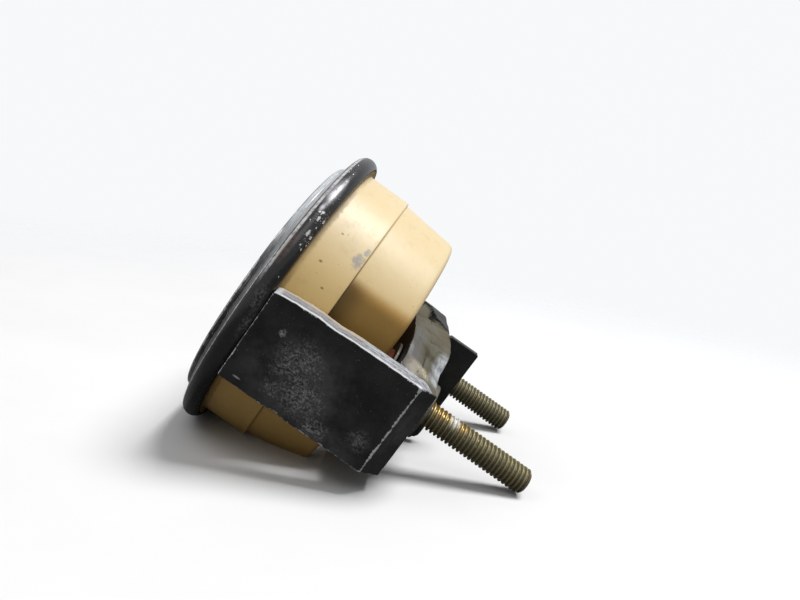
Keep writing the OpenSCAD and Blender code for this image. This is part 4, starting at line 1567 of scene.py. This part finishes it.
@dataclass
class Clamp:
    """The cast U clamp: two legs, a web on the studs and a barrier rib, broken above its near leg."""

    foot_x: float = 0.1
    half: float = 27.8
    inner_r: float = 26.2
    web_x: float = 21.7
    back_x: float = 29.4
    chamfer: float = 3.3
    top: float = 10.4
    bevel: float = 0.12
    low_points: int = 11
    leg_tilt: float = 0.75
    leg_top: tuple[Place, ...] = (
        (0.1, 4.95), (0.6, 5.12), (3.6, 5.48), (7.8, 5.72), (10.8, 5.55), (14.3, 5.80), (25.7, 5.95),
        (27.6, 5.85), (29.4, 5.45))
    break_front: tuple[Place, ...] = (
        (-25.4, 6.65), (-24.0, 7.3), (-23.1, 8.2), (-19.2, 9.3), (-16.6, 10.0), (-9.1, 10.2), (0.0, 10.0),
        (10.0, 9.4), (24.5, 9.0))
    break_rear: tuple[Place, ...] = (
        (-24.5, 5.4), (-21.7, 5.3), (-18.0, 5.8), (-15.1, 6.5), (-14.6, 7.6), (-13.0, 9.0), (-10.2, 10.0),
        (-5.8, 10.3), (3.0, 10.3), (14.0, 9.7), (24.5, 9.4))
    painted_top: tuple[Place, ...] = (
        (2.0, 10.4), (9.6, 10.38), (16.0, 10.1), (21.0, 10.15), (23.5, 10.0), (24.6, 9.9), (27.8, 9.7))
    painted: tuple[Place, ...] = (
        (-4.0, 31.0), (3.0, 29.8), (8.4, 28.0), (11.8, 26.7), (17.0, 26.0), (24.4, 25.2), (24.9, -5.0))
    grooves: tuple[tuple[Place, Place, float, float], ...] = (
        ((24.26, -5.8), (25.04, -8.4), 0.30, 0.16), ((25.29, -11.94), (27.16, -10.79), 0.30, 0.25),
        ((25.6, -15.0), (25.39, -20.47), 0.40, 0.28), ((22.0, -24.6), (25.44, -25.2), 0.35, 0.22),
        ((26.4, 20.0), (25.45, 7.9), 0.55, 1.80))
    rib_t: float = 2.2
    rib_x: float = 35.5
    rib_low: float = -10.0
    rib_top: float = 10.85
    stud_y: float = 15.6
    bush_r: float = 3.6
    bush_bore: float = 2.565
    washer_r: float = 5.0
    washer_t: float = 1.3

    def rail(self) -> list[Station]:
        """Returns the stations from the near foot to the middle of the web.

        Returns:
            The stations, whose inner place is an X on the leg and a share along the web.
        """
        fold_x, fold_y = self.back_x - self.chamfer, self.chamfer - self.half
        foot, web, chamfer = self.foot_x, self.web_x, self.chamfer
        legs = np.concatenate([[0.0, 0.003, 0.008, 0.016], np.linspace(0.03, 0.985, 84), [0.995, 1.0]])
        folds = (0.02, 0.08, 0.2, 0.35, 0.5, 0.65, 0.8, 0.92, 0.98, 1.0)
        backs = np.concatenate([[0.003, 0.01], np.linspace(0.02, 1.0, 112)])
        path = [Station(foot + (fold_x - foot) * s, -self.half, False, foot + (web - foot) * s)
                for s in legs]
        path += [Station(fold_x + chamfer * s, fold_y - chamfer * (1 - s), True, 0.10 * s) for s in folds]
        path += [Station(self.back_x, fold_y * (1 - s), True, 0.10 + 0.90 * s) for s in backs]
        return path

    def crown(self, x: float, y: float) -> Place:
        """Returns the height of the clamp's upper surface at a place, and its bare share, 1 where broken.

        Args:
            x: Place along the axis.
            y: Place to the side.

        Returns:
            The height and the share.
        """
        ragged = 0.45 * noise.noise(Vector((x * 0.9, y * 0.8, 6.1))) if y > -3.0 else 0.0
        bare = ease(along(self.painted, y) - x + ragged, -0.12, 0.12)
        shift = 3.0 * ease(y, 20.0, 25.0)
        top = self.top + (along(self.painted_top, y) - self.top) * ease(x, 22.5 - shift, 25.5 - shift)
        if bare == 0.0:
            return top, 0.0
        rough = noise.noise(Vector((x * 0.33, y * 0.28, 3.7)))
        fine = noise.noise(Vector((x * 1.3, y * 1.5, 9.1)))
        ripple = noise.noise(Vector((x * 0.8, y * 2.2, 1.3)))
        deep = y + self.half - max(0.0, x - (self.back_x - self.chamfer))
        deep = min(1.0, max(0.0, deep / 2.2))
        leg = along(self.leg_top, x) + self.leg_tilt * deep + 0.07 * ripple + 0.03 * fine
        share = min(1.0, max(0.0, (x - self.web_x) / (self.back_x - self.web_x)))
        web = along(self.break_front, y) * (1 - share) + along(self.break_rear, y) * share
        web += 0.20 * rough + 0.09 * fine
        z = leg + (web - leg) * ease(y, -25.4, -24.5)
        z -= max(depth * math.exp(-(gap((x, y), start, end) / width) ** 2)
                 for start, end, width, depth in self.grooves)
        return top + (min(self.top, z) - top) * bare, bare

    def nibble(self, x: float, y: float) -> float:
        """Returns how far the lower edge is chipped away at a place.

        Args:
            x: Place along the axis.
            y: Place to the side.

        Returns:
            The depth.
        """
        rough = noise.noise(Vector((x * 0.9, y * 0.9, 5.5)))
        bite = max(0.0, noise.noise(Vector((x * 0.42, y * 0.42, 12.5))) - 0.16)
        return 0.05 * abs(rough) + (0.8 if y < 0 else 0.35) * bite

    def levels(self, low: float, high: float) -> np.ndarray:
        """Returns heights between two edges, close together near both."""
        near = np.array([0.0, 0.06, 0.16, 0.35, 0.7, 1.3]) + self.bevel
        return np.concatenate([low + near, np.linspace(low + 2.4, high - 2.4, 8), high - near[::-1]])

    def loop(self, station: Station, side: Side, inset: float) -> np.ndarray:
        """Returns the closed ring of points of one station.

        Args:
            station: The station.
            side: Which half of the clamp it belongs to.
            inset: How far the ring is drawn in, to round the foot.

        Returns:
            Its points: up the outer side, in across the top, down the inner side and out below.
        """
        turned = -side.value

        def inside(z: float) -> Place:
            """Returns the inner place at a height."""
            wall = math.sqrt(self.inner_r ** 2 - z * z) + inset
            return (self.web_x, -wall * (1 - station.inner)) if station.web else (station.inner, -wall)

        x_out, y_out = station.x, station.y + inset
        low = -self.top + self.nibble(x_out, station.y * turned) + inset
        high = self.crown(x_out, station.y * turned)[0] - inset
        x_in, y_in = inside(high)
        high_in = self.crown(x_in, y_in * turned)[0] - inset
        points = [(x_out, y_out, z) for z in self.levels(low, high)]
        edge = self.bevel / math.hypot(x_in - x_out, y_in - y_out)
        steps = np.linspace(4 * edge, 1 - 4 * edge, 27)
        for v in (edge, 2.2 * edge, *steps, 1 - 2.2 * edge, 1 - edge):
            x, y = x_out + (x_in - x_out) * v, y_out + (y_in - y_out) * v
            points.append((x, y, self.crown(x, y * turned)[0] - inset))
        points += [(*inside(z), z) for z in self.levels(low, high_in)[::-1]]
        x_in, y_in = inside(low)
        steps = np.linspace(1 - 6 * edge, 6 * edge, self.low_points - 4)
        for v in (1 - edge, 1 - 3 * edge, *steps, 3 * edge, edge):
            points.append((x_out + (x_in - x_out) * v, y_out + (y_in - y_out) * v, low))
        return np.array(points) * (1.0, turned, 1.0)

    def build(self) -> None:
        """Makes the clamp, its bushes and its washer."""
        stations = self.rail()
        insets = [0.11, 0.035, 0.01] + [0.0] * (len(stations) - 3)
        near, far = ([self.loop(s, side, d) for s, d in zip(stations, insets)] for side in Side)
        rows = near + far[::-1][1:]
        faces = grid_faces(len(rows), len(rows[0]), closed=False) + self.caps(len(rows), len(rows[0]))
        made = piece("clamp_casting", rows, faces, CASTING, 38)
        rib, rib_edges = self.rib()
        carve(made, [rib], "UNION")
        holes = ((-self.stud_y, 0.0), (self.stud_y, 0.0))
        carve(made, plugs(21.0, 30.0, self.bush_r + 0.02, holes, turns=64))
        self.weigh(made, self.edges(near, far) + [(0.16, edge) for edge in rib_edges])
        polish(made, CASTING, 38, weld=False)
        for face in made.data.polygons:
            if abs(face.normal.y) > 0.999 and abs(face.center.y) < self.rib_t * MM:
                face.use_smooth = False
        settle(made, CASTING, "clamp_bracket", body=Body.CLAMP)
        bush = lathe("bush", ring_profile(self.web_x, self.back_x, self.bush_r, self.bush_bore, 0.15), BUSH)
        pair("bush_pair", bush, BUSH, self.stud_y, "clamp_bushes", Body.CLAMP)
        section = ring_profile(self.back_x, self.back_x + self.washer_t, self.washer_r, self.bush_bore, 0.18)
        washer = lathe("terminal_washer", section, DULL_STEEL, (-self.stud_y, 0.0), 128)
        settle(washer, DULL_STEEL, "stud_washer", body=Body.CLAMP)

    def caps(self, rows: int, size: int) -> list[list[int]]:
        """Returns the faces that close both feet, as strips from the outer to the inner side.

        Args:
            rows: Number of rings.
            size: Points of each ring.

        Returns:
            The faces.
        """
        up = len(self.levels(0.0, 20.0))
        down = size - up - self.low_points
        faces = []
        for first in (0, (rows - 1) * size):
            numbers = [first + i for i in range(size)]
            outer, crest = numbers[:up], numbers[up:down]
            inner, low = numbers[down:down + up][::-1], numbers[down + up:][::-1]
            faces += [[outer[i], outer[i + 1], inner[i + 1], inner[i]] for i in range(up - 1)]
            faces += [[outer[-1]] + crest + [inner[-1]], [outer[0]] + low + [inner[0]]]
        return faces

    def edges(self, near: Sequence[np.ndarray], far: Sequence[np.ndarray]) -> list[tuple[float, np.ndarray]]:
        """Returns the edges that wear, as lines of points, each with the wear in millimetres it is spared.

        Args:
            near: Rings of the near half.
            far: Rings of the far half.

        Returns:
            The edges.
        """
        up = len(self.levels(0.0, 20.0))
        size = len(near[0])
        low = size - self.low_points
        top_in = low - up
        fold = next(i for i, station in enumerate(self.rail()) if station.web)
        back = next(i for i, station in enumerate(self.rail()) if station.x >= self.back_x)
        lift = np.array([0.0, 0.0, self.bevel * 0.6])
        found = []
        for rings, spared in ((near, 0.0), (far, 0.26)):
            rows = np.array(rings)
            found += [(spared + 0.07, rows[:, up - 1] + lift), (spared + 0.04, rows[:, top_in] + lift),
                      (spared + 0.02, rows[:, 0] - lift), (spared + 0.16, rows[:, low - 1] - lift),
                      (spared - 0.07, rows[0, :up]), (spared + 0.10, rows[0, top_in:low]),
                      (spared - 0.11, rows[fold, :up]), (spared + 0.08, rows[back, :up])]
        return found

    def weigh(self, made: bpy.types.Object, edges: Sequence[tuple[float, np.ndarray]]) -> None:
        """Stores each point's distance to the nearest worn edge, and whether the casting is broken there.

        Args:
            made: The casting.
            edges: The edges that wear, with the wear that each is spared.
        """
        groups: dict[float, list[Vector]] = {}
        for spared, line in edges:
            for start, end in zip(line[:-1], line[1:]):
                steps = max(1, math.ceil(float(np.linalg.norm(end - start)) / 0.1))
                places = [Vector(start + (end - start) * k / steps) for k in range(steps)]
                groups.setdefault(spared, []).extend(places)
        trees = []
        for spared, places in groups.items():
            tree = kdtree.KDTree(len(places))
            for index, place in enumerate(places):
                tree.insert(place, index)
            tree.balance()
            trees.append((spared, tree))
        rim, torn = [], []
        for vertex in made.data.vertices:
            place = vertex.co / MM
            rim.append(min(2.0, min(tree.find(place)[2] + spared for spared, tree in trees)))
            height, bare = self.crown(place.x, place.y)
            on_top = place.z > height - 0.05 and place.x < self.back_x + 0.01 and place.z < self.top + 0.01
            torn.append(bare if on_top else 0.0)
        for name, values in (("rim", rim), ("torn", torn)):
            made.data.attributes.new(name, "FLOAT", "POINT").data.foreach_set("value", values)

    def rib(self) -> tuple[bpy.types.Object, list[np.ndarray]]:
        """Makes the barrier rib, with soft edges and a chipped lower corner.

        Returns:
            The rib, and its edges.
        """
        root, rear, low = self.back_x - 0.6, self.rib_x, self.rib_low
        corners = [(root, low), (rear - 1.6, low), (rear - 1.1, low + 0.2), (rear - 0.85, low + 0.7),
                   (rear - 0.5, low + 0.9), (rear - 0.1, low + 1.5), (rear, low + 2.2),
                   (rear, self.rib_top - 0.15), (rear - 0.15, self.rib_top),
                   (self.back_x, self.rib_top - 0.05), (root, self.rib_top - 0.7)]
        outline = []
        for start, end in zip(corners, corners[1:] + corners[:1]):
            steps = max(1, math.ceil(math.dist(start, end) / 0.5))
            outline += [np.array(start) + np.subtract(end, start) * k / steps for k in range(steps)]
        flat = np.array(outline)
        run = np.roll(flat, -1, 0) - np.roll(flat, 1, 0)
        inward = np.stack([-run[:, 1], run[:, 0]], 1) / np.linalg.norm(run, axis=1)[:, None]
        half = self.rib_t / 2
        middle = (flat.max(0) + flat.min(0)) / 2
        rounding = ((half, 0.12, 0.6), (half, 0.12, 0.16), (half, 0.12, 0.05), (half, 0.12, 0.0),
                    (half - 0.035, 0.035, 0.0), (half - 0.12, 0.0, 0.0))
        rows = []
        for y, inset, shrink in (*((-y, a, b) for y, a, b in rounding), (0.0, 0.0, 0.0), *rounding[::-1]):
            moved = flat + inward * inset
            moved += (middle - moved) * shrink
            rows.append(np.column_stack([moved[:, 0], np.full(len(flat), y), moved[:, 1]]))
        count = len(flat)
        faces = grid_faces(len(rows), count, closed=False)
        faces += [list(range(count)), list(range((len(rows) - 1) * count, len(rows) * count))[::-1]]
        shown = flat[:, 0] > self.back_x
        return piece("rib", rows, faces, CASTING, 38), [rows[4][shown], rows[8][shown]]


# Studio


@dataclass
class Studio:
    """The floor that the bezel and the studs rest on, the lights and the camera of the photograph."""

    rest_front: Place = (-1.65, -28.575)
    rest_rear: Place = (52.0, -2.415)
    reach: float = 4000.0
    place: Spot = (0.009716, -0.125382, 0.029943)
    right: Spot = (0.8118, 0.0395, 0.5826)
    above: Spot = (-0.5807, 0.1586, 0.7985)
    lens: float = 30.56
    middle: Spot = (25.0, 0.0, -16.0)
    fade: Place = (90.0, 330.0)

    def floor(self) -> None:
        """Makes the pale floor, seen from above only."""
        run = np.subtract(self.rest_rear, self.rest_front)
        run /= np.linalg.norm(run)
        base = np.array(self.rest_front) - np.array([-run[1], run[0]]) * 0.02
        corners = [(base[0] + s * run[0], t, base[1] + s * run[1])
                   for s, t in self.reach * np.array([(-1, -1), (1, -1), (1, 1), (-1, 1)])]
        mesh = bpy.data.meshes.new("floor")
        mesh.from_pydata((np.array(corners) * MM).tolist(), [], [[0, 1, 2, 3]])
        mesh.update()
        if mesh.polygons[0].normal.z < 0:
            mesh.flip_normals()
        mesh.materials.append(self.floor_material())
        add("floor", mesh)

    def floor_material(self) -> bpy.types.Material:
        """Returns the floor's material: pale and matt from above, faded far away, clear from below.

        Returns:
            The material.
        """
        made = bpy.data.materials.new("floor_finish")
        g = Shade(emptied(made))
        seen = g.term("ShaderNodeLightPath", output="Is Camera Ray")
        faded = seen * g.vector("DISTANCE", g.point, self.middle).band(*self.fade)
        pale = g.noise(0.02, 4.0, 0.6).band(0.3, 0.7).mix((0.80, 0.80, 0.80), (0.83, 0.83, 0.83))
        matt = g.term("ShaderNodeBsdfPrincipled", {
            "Base Color": seen.mix((0.16, 0.16, 0.16), pale), "Roughness": 0.85, "Specular IOR Level": 0.2})
        below = g.term("ShaderNodeNewGeometry", output="Backfacing")
        clear = g.term("ShaderNodeBsdfTransparent")
        both = g.term("ShaderNodeMixShader", {0: most(below, faded), 1: matt, 2: clear})
        g.node("ShaderNodeOutputMaterial", {"Surface": both})
        return made

    def world(self) -> None:
        """Makes the world: pale to the camera, darker in reflections and faint as light."""
        made = bpy.data.worlds.new("studio")
        bpy.context.scene.world = made
        g = Graph(emptied(made))
        rays = g.node("ShaderNodeLightPath").outputs
        seen = g.math("MAXIMUM", rays["Is Camera Ray"], rays["Is Transmission Ray"])
        strength = most(seen, g.math("MULTIPLY", rays["Is Glossy Ray"], 0.6)).blend(0.19, 1.0)
        back = g.term("ShaderNodeBackground", {"Color": (0.93, 0.94, 0.96), "Strength": strength})
        g.node("ShaderNodeOutputWorld", {"Surface": back})

    def lamp(self, name: str, direction: Spot, distance: float, size: float, power: float) -> None:
        """Adds an area lamp that looks at the object's middle.

        Args:
            name: Its name.
            direction: Where it stands, from the object.
            distance: How far, in metres.
            size: Its width in metres.
            power: Light on a surface that faces it, where 1 shows a colour about as it is written.
        """
        light = bpy.data.lights.new(name, "AREA")
        light.shape, light.size = "DISK", size
        light.energy = power * math.pi * math.pi * distance ** 2
        made = add(name, light)
        aim = Vector(direction).normalized()
        made.location = Vector((0.02, 0.0, 0.0)) + aim * distance
        made.rotation_euler = aim.to_track_quat("Z", "Y").to_euler()

    def camera(self) -> None:
        """Adds the camera of the photograph."""
        data = bpy.data.cameras.new("camera")
        data.lens, data.sensor_width, data.sensor_fit = self.lens, 36.0, "HORIZONTAL"
        data.clip_start, data.clip_end = 0.005, 50.0
        made = add("camera", data)
        right, above = Vector(self.right).normalized(), Vector(self.above).normalized()
        turned = Matrix((right, above, right.cross(above))).transposed().to_4x4()
        made.matrix_world = Matrix.Translation(self.place) @ turned
        bpy.context.scene.camera = made

    def build(self) -> None:
        """Makes the floor, the world, the lamps and the camera."""
        self.floor()
        self.world()
        self.lamp("key", (-0.05, 0.06, 0.99), 1.2, 0.52, 1.0)
        self.lamp("fill", (-0.95, -0.04, 0.40), 1.4, 1.1, 0.16)
        self.lamp("front", (-0.22, -0.55, 0.80), 1.4, 0.9, 0.15)
        self.camera()
        bpy.context.scene.view_settings.view_transform = "Standard"
        LOG.info("studio: floor, world, three lamps and the camera")


def main() -> None:
    """Builds the object piece by piece, dresses the solids that it keeps, then builds the studio."""
    logging.basicConfig(level=logging.INFO, format="%(name)s: %(message)s", stream=sys.stdout)
    for part in (Bezel(), Case(), Dial(), Studs(), Clamp()):
        part.build()
    for node, finish in KEPT_NODES.items():
        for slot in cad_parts[node].material_slots:
            slot.material = finish.material()
        LOG.info("%s keeps its solid and takes %s", node, finish.name)
    Studio().build()


if __name__ == "__main__":
    main()
